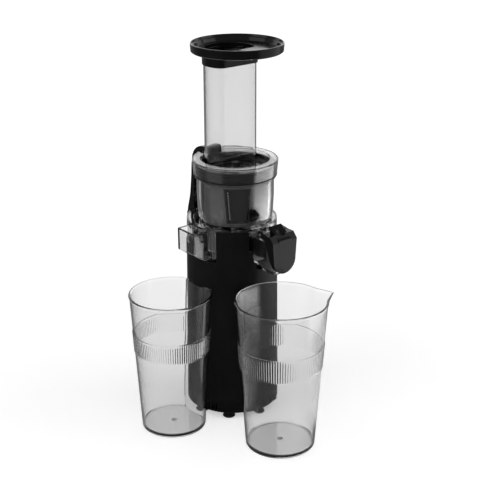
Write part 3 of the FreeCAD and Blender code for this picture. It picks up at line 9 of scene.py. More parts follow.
import bpy
from bpy.props import FloatProperty, FloatVectorProperty, IntProperty, PointerProperty
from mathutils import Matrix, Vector


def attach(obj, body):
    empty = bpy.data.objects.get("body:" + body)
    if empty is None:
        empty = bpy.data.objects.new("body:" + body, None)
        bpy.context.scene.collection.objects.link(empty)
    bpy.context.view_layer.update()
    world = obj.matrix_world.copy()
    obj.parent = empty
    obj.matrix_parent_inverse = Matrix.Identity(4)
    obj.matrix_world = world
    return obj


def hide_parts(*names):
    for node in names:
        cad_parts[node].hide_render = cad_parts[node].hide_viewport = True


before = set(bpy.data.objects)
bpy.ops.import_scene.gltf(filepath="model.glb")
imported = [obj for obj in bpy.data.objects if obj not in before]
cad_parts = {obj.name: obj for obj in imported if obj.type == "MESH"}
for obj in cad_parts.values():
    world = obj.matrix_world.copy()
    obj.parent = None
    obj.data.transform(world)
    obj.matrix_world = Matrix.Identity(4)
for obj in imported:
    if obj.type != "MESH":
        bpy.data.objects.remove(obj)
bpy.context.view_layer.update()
MM = 0.001

# Sizes in mm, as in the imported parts. Only the width of the frame is the scene's own.
BOWL_FORWARD = 6.5         # bowl and strainer, in front of the base's axis
STRAINER_RADIUS = 37.0     # outside of the strainer, about half way up
WINDOW_TURN = 234.0        # degrees, middle of the strainer's first window
WINDOW_LOW = 238.0         # lower edge of the windows
WINDOW_HIGH = 274.0        # upper edge of the windows
WINDOW_HALF_LOW = 9.75     # half a window's width at its lower edge
WINDOW_HALF_HIGH = 12.75   # half a window's width at its upper edge
WINDOW_FRAME = 1.9         # width of the black frame beside the windows
CUP_WALL = 1.8             # wall of the jug and the cup
JUG_AT = (-23.0, -111.5)   # axis of the juice jug
CUP_AT = (-89.2, -2.4)     # axis of the pulp cup
# Radius of the foot and of the rim, height, and the band's lower and upper edge.
JUG_SHAPE = (38.4, 49.7, 171.8, 95.1, 122.5)
CUP_SHAPE = (36.2, 45.6, 162.0, 93.9, 118.0)

# The stage, in metres.
FLOOR_RADIUS = 3.0
FLOOR_LEVEL = -0.0002
BACKDROP_RADIUS = 2.8
BACKDROP_HEIGHT = 2.6

bl_info = {
    "name": "Cold press juicer",
    "version": (1, 0, 0),
    "blender": (4, 5, 0),
    "location": "3D View > Sidebar > Juicer",
    "description": "Builds the visible pieces and finishes of a cold press juicer",
    "category": "Object",
}


# Values that a user may change.

class JuicerColours(bpy.types.PropertyGroup):
    base_black: FloatVectorProperty(
        name="Base black", description="Colour of the motor base", subtype="COLOR",
        size=3, min=0.0, max=1.0, default=(0.0062, 0.0062, 0.0064))
    gloss_black: FloatVectorProperty(
        name="Gloss black", description="Colour of the tray, the cap and the arm", subtype="COLOR",
        size=3, min=0.0, max=1.0, default=(0.003, 0.003, 0.0031))
    smoke: FloatVectorProperty(
        name="Smoke", description="Tint of the bowl, the lid, the chute and the spout", subtype="COLOR",
        size=3, min=0.0, max=1.0, default=(0.74, 0.74, 0.744))
    tube_smoke: FloatVectorProperty(
        name="Tube smoke", description="Tint of the feed tube", subtype="COLOR",
        size=3, min=0.0, max=1.0, default=(0.81, 0.81, 0.813))
    cup_smoke: FloatVectorProperty(
        name="Cup smoke", description="Tint of the juice jug and the pulp cup", subtype="COLOR",
        size=3, min=0.0, max=1.0, default=(0.885, 0.885, 0.888))
    strainer_grey: FloatVectorProperty(
        name="Strainer grey", description="Colour of the strainer frame", subtype="COLOR",
        size=3, min=0.0, max=1.0, default=(0.10, 0.10, 0.102))


class JuicerSizes(bpy.types.PropertyGroup):
    soft_edge: FloatProperty(
        name="Soft edge", description="Rounding of moulded edges", subtype="DISTANCE", unit="LENGTH",
        min=0.0001, max=0.001, default=0.0004)
    cup_ribs: IntProperty(
        name="Ribs", description="Number of ribs round each band", min=40, max=160, default=108)
    rib_depth: FloatProperty(
        name="Rib depth", description="Depth of the flutes between the ribs", subtype="DISTANCE",
        unit="LENGTH", min=0.0001, max=0.001, default=0.00035)
    bead_round: FloatProperty(
        name="Bead", description="How far the rolled rims stand out", subtype="DISTANCE",
        unit="LENGTH", min=0.0002, max=0.0009, default=0.0008)


class StageSettings(bpy.types.PropertyGroup):
    left_power: FloatProperty(
        name="Left lamp", description="Power of the wide lamp on the left", subtype="POWER",
        min=0.0, max=100.0, default=6.5)
    right_power: FloatProperty(
        name="Right lamp", description="Power of the wide lamp on the right", subtype="POWER",
        min=0.0, max=100.0, default=6.5)
    room_light: FloatProperty(
        name="Room light", description="Plain light of the room", min=0.0, max=2.0, default=0.5)
    camera_place: FloatVectorProperty(
        name="Camera", description="Place of the camera", subtype="TRANSLATION", unit="LENGTH",
        size=3, default=(-0.7274, -0.8987, 0.646))
    camera_view: FloatVectorProperty(
        name="View", description="Direction that the camera looks in", subtype="XYZ",
        size=3, default=(0.5978, 0.7124, -0.3675))


# Finishes.

def new_finish(name):
    """An empty material with one Principled shader."""
    finish = bpy.data.materials.new(name)
    finish.use_nodes = True
    tree = finish.node_tree
    tree.nodes.clear()
    out = tree.nodes.new("ShaderNodeOutputMaterial")
    shader = tree.nodes.new("ShaderNodeBsdfPrincipled")
    tree.links.new(shader.outputs["BSDF"], out.inputs["Surface"])
    return finish, tree, shader, out


def grain(tree, size, stretch=(1.0, 1.0, 1.0), detail=3.0):
    """Noise with spots of about the given size in metres, fixed to the piece."""
    where = tree.nodes.new("ShaderNodeTexCoord")
    scaled = tree.nodes.new("ShaderNodeMapping")
    scaled.inputs["Scale"].default_value = stretch
    noise = tree.nodes.new("ShaderNodeTexNoise")
    noise.inputs["Scale"].default_value = 1.0 / size
    noise.inputs["Detail"].default_value = detail
    tree.links.new(where.outputs["Object"], scaled.inputs["Vector"])
    tree.links.new(scaled.outputs["Vector"], noise.inputs["Vector"])
    return noise.outputs["Fac"]


def spread(tree, value, low, high, first=0.35, last=0.65):
    """Maps a value between first and last to the range from low to high."""
    ranged = tree.nodes.new("ShaderNodeMapRange")
    ranged.inputs["From Min"].default_value = first
    ranged.inputs["From Max"].default_value = last
    ranged.inputs["To Min"].default_value = low
    ranged.inputs["To Max"].default_value = high
    tree.links.new(value, ranged.inputs["Value"])
    return ranged.outputs["Result"]


def two_tones(tree, value, dark, light):
    """A colour between two tones, by a value such as noise."""
    ramp = tree.nodes.new("ShaderNodeValToRGB")
    ramp.color_ramp.elements[0].position = 0.35
    ramp.color_ramp.elements[0].color = (*dark, 1.0)
    ramp.color_ramp.elements[1].position = 0.65
    ramp.color_ramp.elements[1].color = (*light, 1.0)
    tree.links.new(value, ramp.inputs["Fac"])
    return ramp.outputs["Color"]


def raised(tree, shader, value, height):
    """Lets a value stand up from the surface by height, in metres."""
    bump = tree.nodes.new("ShaderNodeBump")
    bump.inputs["Strength"].default_value = 1.0
    bump.inputs["Distance"].default_value = height
    tree.links.new(value, bump.inputs["Height"])
    tree.links.new(bump.outputs["Normal"], shader.inputs["Normal"])


def darker(colour, share):
    """The colour times a share, which may also be a little above one."""
    return tuple(part * share for part in colour)


def moulded(name, colour, smooth, rough, size, height, shine=0.3, metal=0.0):
    """Moulded plastic, rubber or metal with a fine grain, uneven gloss and a little colour change."""
    finish, tree, shader = new_finish(name)[:3]
    wide = grain(tree, size * 60.0)
    fine = grain(tree, size, detail=2.0)
    tree.links.new(two_tones(tree, wide, darker(colour, 0.85), darker(colour, 1.15)),
                   shader.inputs["Base Color"])
    tree.links.new(spread(tree, wide, smooth, rough), shader.inputs["Roughness"])
    raised(tree, shader, fine, height)
    shader.inputs["Specular IOR Level"].default_value = shine
    shader.inputs["Metallic"].default_value = metal
    return finish


def see_through(name, tint, smooth, rough):
    """Clear moulded plastic: tinted, glossy, with faint flow marks. Lamps shine through it."""
    finish, tree, shader, out = new_finish(name)
    flow = grain(tree, 0.02, (1.0, 1.0, 0.25), 2.0)
    shader.inputs["Base Color"].default_value = (*tint, 1.0)
    shader.inputs["Transmission Weight"].default_value = 1.0
    shader.inputs["IOR"].default_value = 1.49
    tree.links.new(spread(tree, flow, smooth, rough), shader.inputs["Roughness"])
    raised(tree, shader, flow, 0.00002)
    path = tree.nodes.new("ShaderNodeLightPath")
    clear = tree.nodes.new("ShaderNodeBsdfTransparent")
    clear.inputs["Color"].default_value = (*tint, 1.0)
    mix = tree.nodes.new("ShaderNodeMixShader")
    tree.links.new(path.outputs["Is Shadow Ray"], mix.inputs["Fac"])
    tree.links.new(shader.outputs["BSDF"], mix.inputs[1])
    tree.links.new(clear.outputs["BSDF"], mix.inputs[2])
    tree.links.new(mix.outputs["Shader"], out.inputs["Surface"])
    return finish


def woven_steel(name):
    """Fine strainer mesh: dark wires with small round holes."""
    finish, tree, shader = new_finish(name)[:3]
    where = tree.nodes.new("ShaderNodeTexCoord")
    holes = tree.nodes.new("ShaderNodeTexVoronoi")
    holes.inputs["Scale"].default_value = 1.0 / 0.0009
    holes.inputs["Randomness"].default_value = 0.0
    tree.links.new(where.outputs["Object"], holes.inputs["Vector"])
    shade = tree.nodes.new("ShaderNodeValToRGB")
    shade.color_ramp.elements[0].position = 0.2
    shade.color_ramp.elements[0].color = (0.002, 0.002, 0.002, 1.0)
    shade.color_ramp.elements[1].position = 0.42
    shade.color_ramp.elements[1].color = (0.014, 0.014, 0.015, 1.0)
    tree.links.new(holes.outputs["Distance"], shade.inputs["Fac"])
    tree.links.new(shade.outputs["Color"], shader.inputs["Base Color"])
    tree.links.new(spread(tree, holes.outputs["Distance"], 0.25, 0.55, 0.1, 0.5), shader.inputs["Roughness"])
    raised(tree, shader, holes.outputs["Distance"], 0.0002)
    shader.inputs["Metallic"].default_value = 0.4
    return finish


def worked_out(tree, operation, first, second=None, third=None):
    """A Math node: each entry is a number or the output of another node."""
    node = tree.nodes.new("ShaderNodeMath")
    node.operation = operation
    for place, entry in enumerate((first, second, third)):
        if entry is None:
            continue
        if isinstance(entry, (int, float)):
            node.inputs[place].default_value = entry
        else:
            tree.links.new(entry, node.inputs[place])
    return node.outputs["Value"]


def framed_grey(name, colour):
    """Satin grey strainer plastic with a black frame painted round each of its four windows."""
    finish, tree, shader = new_finish(name)[:3]
    wide = grain(tree, 0.03)
    plain = two_tones(tree, wide, darker(colour, 0.85), darker(colour, 1.15))
    where = tree.nodes.new("ShaderNodeTexCoord")
    parts = tree.nodes.new("ShaderNodeSeparateXYZ")
    tree.links.new(where.outputs["Object"], parts.inputs["Vector"])
    forward = worked_out(tree, "ADD", parts.outputs["Y"], BOWL_FORWARD * MM)
    around = worked_out(tree, "ARCTAN2", forward, parts.outputs["X"])
    from_window = worked_out(tree, "SUBTRACT", around, math.radians(WINDOW_TURN))
    quarter = worked_out(tree, "WRAP", from_window, math.pi / 4, -math.pi / 4)
    sideways = worked_out(tree, "ABSOLUTE", worked_out(tree, "MULTIPLY", quarter, STRAINER_RADIUS * MM))
    # The windows widen towards their top.
    tall = WINDOW_HIGH - WINDOW_LOW
    widening = (WINDOW_HALF_HIGH - WINDOW_HALF_LOW) / tall
    above = worked_out(tree, "SUBTRACT", parts.outputs["Z"], WINDOW_LOW * MM)
    half = worked_out(tree, "MULTIPLY_ADD", above, widening, (WINDOW_HALF_LOW + WINDOW_FRAME) * MM)
    beside = worked_out(tree, "LESS_THAN", sideways, half)
    middle = (WINDOW_LOW + WINDOW_HIGH) / 2 * MM
    level = worked_out(tree, "ABSOLUTE", worked_out(tree, "SUBTRACT", parts.outputs["Z"], middle))
    within = worked_out(tree, "LESS_THAN", level, (tall / 2 + 1.6) * MM)
    tone = tree.nodes.new("ShaderNodeMix")
    tone.data_type = "RGBA"
    tree.links.new(worked_out(tree, "MULTIPLY", beside, within), tone.inputs["Factor"])
    tree.links.new(plain, tone.inputs["A"])
    tone.inputs["B"].default_value = (0.003, 0.003, 0.003, 1.0)
    tree.links.new(tone.outputs["Result"], shader.inputs["Base Color"])
    tree.links.new(spread(tree, wide, 0.2, 0.3), shader.inputs["Roughness"])
    raised(tree, shader, grain(tree, 0.0006, detail=2.0), 0.00001)
    shader.inputs["Specular IOR Level"].default_value = 0.5
    return finish


FINISHES = {}


def finishes():
    """Every finish of the juicer by name, made once."""
    if FINISHES:
        return FINISHES
    colours = bpy.context.scene.juicer_colours
    black, gloss = tuple(colours.base_black), tuple(colours.gloss_black)
    smoke, tube, cup = tuple(colours.smoke), tuple(colours.tube_smoke), tuple(colours.cup_smoke)
    grey = tuple(colours.strainer_grey)
    FINISHES.update({
        "matte_black": moulded("matte_black", black, 0.42, 0.52, 0.0006, 0.00003, 0.1),
        "foot_ring": moulded("foot_ring", darker(black, 0.9), 0.36, 0.46, 0.0005, 0.00002, 0.11),
        "gloss_black": moulded("gloss_black", gloss, 0.08, 0.14, 0.0008, 0.000006, 0.2),
        "cap_black": moulded("cap_black", gloss, 0.12, 0.2, 0.0008, 0.000006, 0.11),
        "black_plastic": moulded("black_plastic", (0.006, 0.006, 0.0065), 0.28, 0.4, 0.0006, 0.00002, 0.18),
        "smoke_clear": see_through("smoke_clear", smoke, 0.02, 0.05),
        "chute_clear": see_through("chute_clear", (0.85, 0.85, 0.853), 0.02, 0.05),
        "tube_clear": see_through("tube_clear", tube, 0.02, 0.05),
        "cup_clear": see_through("cup_clear", cup, 0.02, 0.05),
        "cup_band": see_through("cup_band", darker(cup, 0.98), 0.11, 0.15),
        # The floor's darker tint is partly the thicker plastic and partly painted shade beneath the cup.
        "cup_floor": see_through("cup_floor", darker(cup, 0.78), 0.06, 0.1),
        # The mark's very dark tint is painted shade on the clear moulding bump.
        "cup_mark_painted_shade": see_through("cup_mark_painted_shade", darker(cup, 0.2), 0.1, 0.16),
        "strainer_grey": framed_grey("strainer_grey", grey),
        "mesh_steel": woven_steel("mesh_steel"),
        "rubber": moulded("rubber", (0.008, 0.008, 0.008), 0.62, 0.78, 0.0004, 0.00003, 0.15),
        "silicone": moulded("silicone", (0.005, 0.005, 0.0055), 0.35, 0.48, 0.0005, 0.00002, 0.2),
        "steel": moulded("steel", (0.56, 0.56, 0.57), 0.24, 0.34, 0.0004, 0.00001, 0.5, 1.0),
        "magnet": moulded("magnet", (0.045, 0.045, 0.05), 0.5, 0.62, 0.0004, 0.00003, 0.4),
        "copper": moulded("copper", (0.62, 0.30, 0.17), 0.25, 0.38, 0.0004, 0.00001, 0.5, 1.0),
        "gear_plastic": moulded("gear_plastic", (0.62, 0.60, 0.55), 0.4, 0.52, 0.0006, 0.00002, 0.4),
        "board": moulded("board", (0.03, 0.14, 0.05), 0.35, 0.5, 0.0005, 0.00003, 0.4),
        "legend_white": moulded("legend_white", (0.62, 0.62, 0.62), 0.45, 0.55, 0.0005, 0.00001, 0.4),
        "stitch_grey": moulded("stitch_grey", (0.75, 0.75, 0.75), 0.3, 0.4, 0.0005, 0.00001, 0.4),
    })
    return FINISHES


# Modelling helpers.

def pick(piece):
    """Leaves the piece alone selected."""
    if bpy.context.object is not None and bpy.context.object.mode != "OBJECT":
        bpy.ops.object.mode_set(mode="OBJECT")
    bpy.ops.object.select_all(action="DESELECT")
    piece.select_set(True)
    bpy.context.view_layer.objects.active = piece


def turned(name, rings, steps, at=(0.0, 0.0), closed=True):
    """A piece made by drawing a ring up and down its axis; rings are (radius, height) in mm.

    It starts and ends as a disc, or with closed off as an open ring whose ends are joined.
    """
    x, y = at[0] * MM, at[1] * MM
    radius, height = rings[0]
    bpy.ops.object.select_all(action="DESELECT")
    bpy.ops.mesh.primitive_circle_add(
        vertices=steps, radius=radius * MM, location=(x, y, height * MM),
        fill_type="TRIFAN" if closed else "NOTHING")
    piece = bpy.context.object
    piece.name = name
    piece.data.name = name
    bpy.ops.object.transform_apply(location=True, rotation=True, scale=True)
    bpy.ops.object.mode_set(mode="EDIT")
    bpy.ops.mesh.select_mode(type="EDGE")
    bpy.ops.mesh.select_all(action="DESELECT")
    bpy.ops.mesh.select_non_manifold()
    for new_radius, new_height in rings[1:]:
        bpy.ops.mesh.extrude_edges_move(
            TRANSFORM_OT_translate={"value": (0.0, 0.0, (new_height - height) * MM)})
        share = new_radius / radius
        bpy.ops.transform.resize(value=(share, share, 1.0), center_override=(x, y, new_height * MM))
        radius, height = new_radius, new_height
    if closed:
        bpy.ops.mesh.extrude_edges_move(TRANSFORM_OT_translate={"value": (0.0, 0.0, 0.0)})
        bpy.ops.mesh.merge(type="CENTER")
    else:
        bpy.ops.mesh.select_all(action="DESELECT")
        bpy.ops.mesh.select_non_manifold()
        bpy.ops.mesh.bridge_edge_loops()
    bpy.ops.mesh.select_all(action="SELECT")
    bpy.ops.mesh.normals_make_consistent(inside=False)
    bpy.ops.object.mode_set(mode="OBJECT")
    return piece


def soften(piece, width):
    """Rounds the sharp edges of a piece by width, in metres."""
    pick(piece)
    bevel = piece.modifiers.new("Soft edges", "BEVEL")
    bevel.width = width
    bevel.segments = 2
    bevel.limit_method = "ANGLE"
    bevel.angle_limit = 0.6
    bevel.use_clamp_overlap = True
    bevel.miter_outer = "MITER_ARC"
    bpy.ops.object.modifier_apply(modifier=bevel.name)


def smooth(piece, angle=0.7):
    """Smooth shading, apart from edges sharper than the angle."""
    pick(piece)
    bpy.ops.object.shade_smooth_by_angle(angle=angle)
    # Large flat faces keep their direction, so that only the rounded edges shade softly.
    even = piece.modifiers.new("Even shading", "WEIGHTED_NORMAL")
    even.mode = "FACE_AREA"
    even.weight = 100
    even.keep_sharp = True
    bpy.ops.object.modifier_apply(modifier=even.name)


def finished_copy(node, name):
    """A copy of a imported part, its loose triangles joined and flat faces made whole."""
    piece = bpy.data.objects.new(name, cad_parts[node].data.copy())
    bpy.context.scene.collection.objects.link(piece)
    pick(piece)
    bpy.ops.object.mode_set(mode="EDIT")
    bpy.ops.mesh.select_all(action="SELECT")
    bpy.ops.mesh.customdata_custom_splitnormals_clear()
    same_place = 0.000004
    bpy.ops.mesh.remove_doubles(threshold=same_place)
    bpy.ops.mesh.dissolve_degenerate(threshold=same_place)
    bpy.ops.mesh.dissolve_limited(angle_limit=0.008)
    bpy.ops.object.mode_set(mode="OBJECT")
    return piece


def coat(piece, finish):
    """Gives a piece one finish all over."""
    piece.data.materials.clear()
    piece.data.materials.append(finishes()[finish])


def coat_where(piece, finish, chosen):
    """Gives the faces whose middle passes a test their own finish."""
    piece.data.materials.append(finishes()[finish])
    place = len(piece.data.materials) - 1
    for face in piece.data.polygons:
        if chosen(face.center):
            face.material_index = place


def stand_for(piece, body, slot, *nodes):
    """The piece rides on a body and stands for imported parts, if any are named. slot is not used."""
    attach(piece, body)
    if nodes:
        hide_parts(*nodes)


def repaint(finish, *nodes):
    """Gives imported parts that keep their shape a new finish."""
    for node in nodes:
        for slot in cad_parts[node].material_slots:
            slot.material = finishes()[finish]


def softened(node, body, slot, finish, width):
    """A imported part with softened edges, which then stands for it."""
    piece = finished_copy(node, node + "_skin")
    soften(piece, width)
    smooth(piece)
    coat(piece, finish)
    stand_for(piece, body, slot, node)


# The cups.

def cup_rings(foot, rim, height, band_low, band_high, sizes):
    """Rings of a cup from its underside, up its outside, over its rim and down to its floor."""
    wall, floor, proud = CUP_WALL, 3.0, 0.7
    bead = sizes.bead_round / MM
    bead_low = height - 2.6

    def side(z):
        return foot + (rim - foot) * z / height

    rings = [(1.0, 0.8), (4.0, 0.8), (foot - 3.0, 0.8), (foot - 2.5, 0.2), (foot - 2.0, 0.0),
             (foot - 0.9, 0.0), (foot - 0.25, 0.25), (foot + 0.02, 0.9)]
    for share in (0.2, 0.4, 0.6, 0.8, 1.0):
        z = 0.9 + (band_low - 0.4 - 0.9) * share
        rings.append((side(z), z))
    rings += [(side(band_low) + 0.35, band_low + 0.05), (side(band_low) + proud, band_low + 0.5)]
    tall = band_high - band_low
    for share in (0.06, 0.12, 0.5, 0.84, 0.9):
        z = band_low + tall * share
        rings.append((side(z) + proud, z))
    rings += [(side(band_high) + proud, band_high - 0.5), (side(band_high) + 0.35, band_high - 0.05),
              (side(band_high), band_high + 0.4)]
    for share in (0.15, 0.4, 0.6, 0.8, 0.92, 0.98):
        z = band_high + 0.4 + (bead_low - band_high - 0.4) * share
        rings.append((side(z), z))
    middle = height - 1.2
    rings += [(rim, bead_low), (rim + bead * 0.6, bead_low + 0.35), (rim + bead, middle - 0.4),
              (rim + bead, middle + 0.3), (rim + bead * 0.7, height - 0.35), (rim + 0.1, height),
              (rim - wall + 0.9, height), (rim - wall + 0.2, height - 0.5), (rim - wall, height - 1.5)]
    for share in (0.05, 0.1, 0.2, 0.4, 0.6, 0.8):
        z = height - 1.5 - (height - 1.5 - floor - 3.0) * share
        rings.append((side(z) - wall, z))
    inner = side(floor) - wall
    rings += [(inner - 0.1, floor + 2.6), (inner - 0.7, floor + 1.0), (inner - 2.2, floor + 0.1),
              (inner - 4.0, floor), (inner * 0.6, floor), (3.4, floor), (2.6, floor + 0.5),
              (1.6, floor + 0.6), (0.6, floor + 0.15)]
    return rings


def flute(piece, at, low, high, count, depth):
    """Presses flutes into a band: every fourth line of points moves towards the axis."""
    x, y = at[0] * MM, at[1] * MM
    steps = count * 4
    reach = []
    for point in piece.data.vertices:
        place = point.co
        if low * MM <= place.z <= high * MM:
            step = round(math.atan2(place.y - y, place.x - x) / (2 * math.pi) * steps)
            if step % 4 == 2:
                reach.append((math.hypot(place.x - x, place.y - y), point.index))
    outermost = max(radius for radius, index in reach)
    pick(piece)
    bpy.ops.object.mode_set(mode="EDIT")
    bpy.ops.mesh.select_mode(type="VERT")
    bpy.ops.mesh.select_all(action="DESELECT")
    bpy.ops.object.mode_set(mode="OBJECT")
    # Only the outside moves, not the wall's inside.
    for radius, index in reach:
        if radius > outermost - 0.0017:
            piece.data.vertices[index].select = True
    bpy.ops.object.mode_set(mode="EDIT")
    share = 1.0 - depth / outermost
    bpy.ops.transform.resize(value=(share, share, 1.0), center_override=(x, y, 0.0))
    bpy.ops.object.mode_set(mode="OBJECT")


def pull_beak(piece, at, rim, tip, turn, height, drop, half):
    """Pulls the rim out to a pointed beak.

    rim and tip are distances from the axis, height is the jug's and drop the beak's, all in mm. The
    beak points along turn and begins half to each side of it, both in degrees.
    """
    x, y = at[0] * MM, at[1] * MM
    for point in piece.data.vertices:
        place = point.co
        fall = (place.z / MM - (height - drop)) / drop
        if fall <= 0.0:
            continue
        angle = math.degrees(math.atan2(place.y - y, place.x - x)) - turn
        angle = (angle + 180.0) % 360.0 - 180.0
        if abs(angle) >= half:
            continue
        radius = math.hypot(place.x - x, place.y - y)
        inset = rim - radius / MM
        beside = math.radians(angle)
        # The beak's edge is a straight line from the rim to the tip.
        side_x = rim * math.cos(math.radians(half))
        side_y = rim * math.sin(math.radians(half))
        line = (tip * side_y) / (math.sin(abs(beside)) * (tip - side_x) + side_y * math.cos(beside))
        out = (line - rim) * min(1.0, fall) - inset
        share = max((rim + out) * MM, radius) / radius
        point.co.x = x + (place.x - x) * share
        point.co.y = y + (place.y - y) * share


def press_hollow(piece, at, foot, rim, low, high, height):
    """Presses the round hollow side into the pulp cup, so that it fits round the base.

    foot and rim are the cup's radii, low and high the hollow's at the floor and the rim, all in mm.
    """
    x, y = at[0] * MM, at[1] * MM
    away = Vector((-x, -y))
    for point in piece.data.vertices:
        place = point.co
        radius = math.hypot(place.x - x, place.y - y)
        if radius < 0.004:
            continue
        z = place.z / MM
        hollow = (low + (high - low) * z / height) * MM
        # Points of the inside stay a wall's thickness behind the hollow.
        inner = radius < (foot + (rim - foot) * z / height - CUP_WALL / 2) * MM and z > 2.9
        if inner:
            hollow += CUP_WALL * MM
        along = Vector(((place.x - x) / radius, (place.y - y) / radius))
        # Where the line from the cup's axis meets the hollow's circle.
        half = along.dot(away)
        inside = half * half - (away.length_squared - hollow * hollow)
        if inside <= 0.0 or half <= 0.0:
            continue
        meet = half - math.sqrt(inside)
        if radius > meet:
            point.co.x = x + along.x * meet
            point.co.y = y + along.y * meet


def coat_cup(piece, at, foot, rim, height, band_low, band_high):
    """Clear walls, with a slightly frosted band outside, a greyer floor whose tint is partly the thicker
    plastic and partly painted shade, and a mark in its middle darkened as painted shade.
    """
    coat(piece, "cup_clear")

    def outside_of_band(middle):
        z = middle.z / MM
        wall = foot + (rim - foot) * z / height
        out = math.hypot(middle.x / MM - at[0], middle.y / MM - at[1])
        return band_low <= z <= band_high and out > wall - 0.6

    coat_where(piece, "cup_band", outside_of_band)
    # Partly painted shade: the floor's faces get a darker tint for the shade beneath as well as for the
    # thicker plastic.
    coat_where(piece, "cup_floor", lambda middle: middle.z < 3.7 * MM)

    # Painted shade: the moulding bump in the floor's middle gets a much darker tint.
    def painted_shade_mark(middle):
        out = math.hypot(middle.x / MM - at[0], middle.y / MM - at[1])
        return out < 3.0 and 3.1 * MM < middle.z < 3.7 * MM

    coat_where(piece, "cup_mark_painted_shade", painted_shade_mark)


# The pieces.

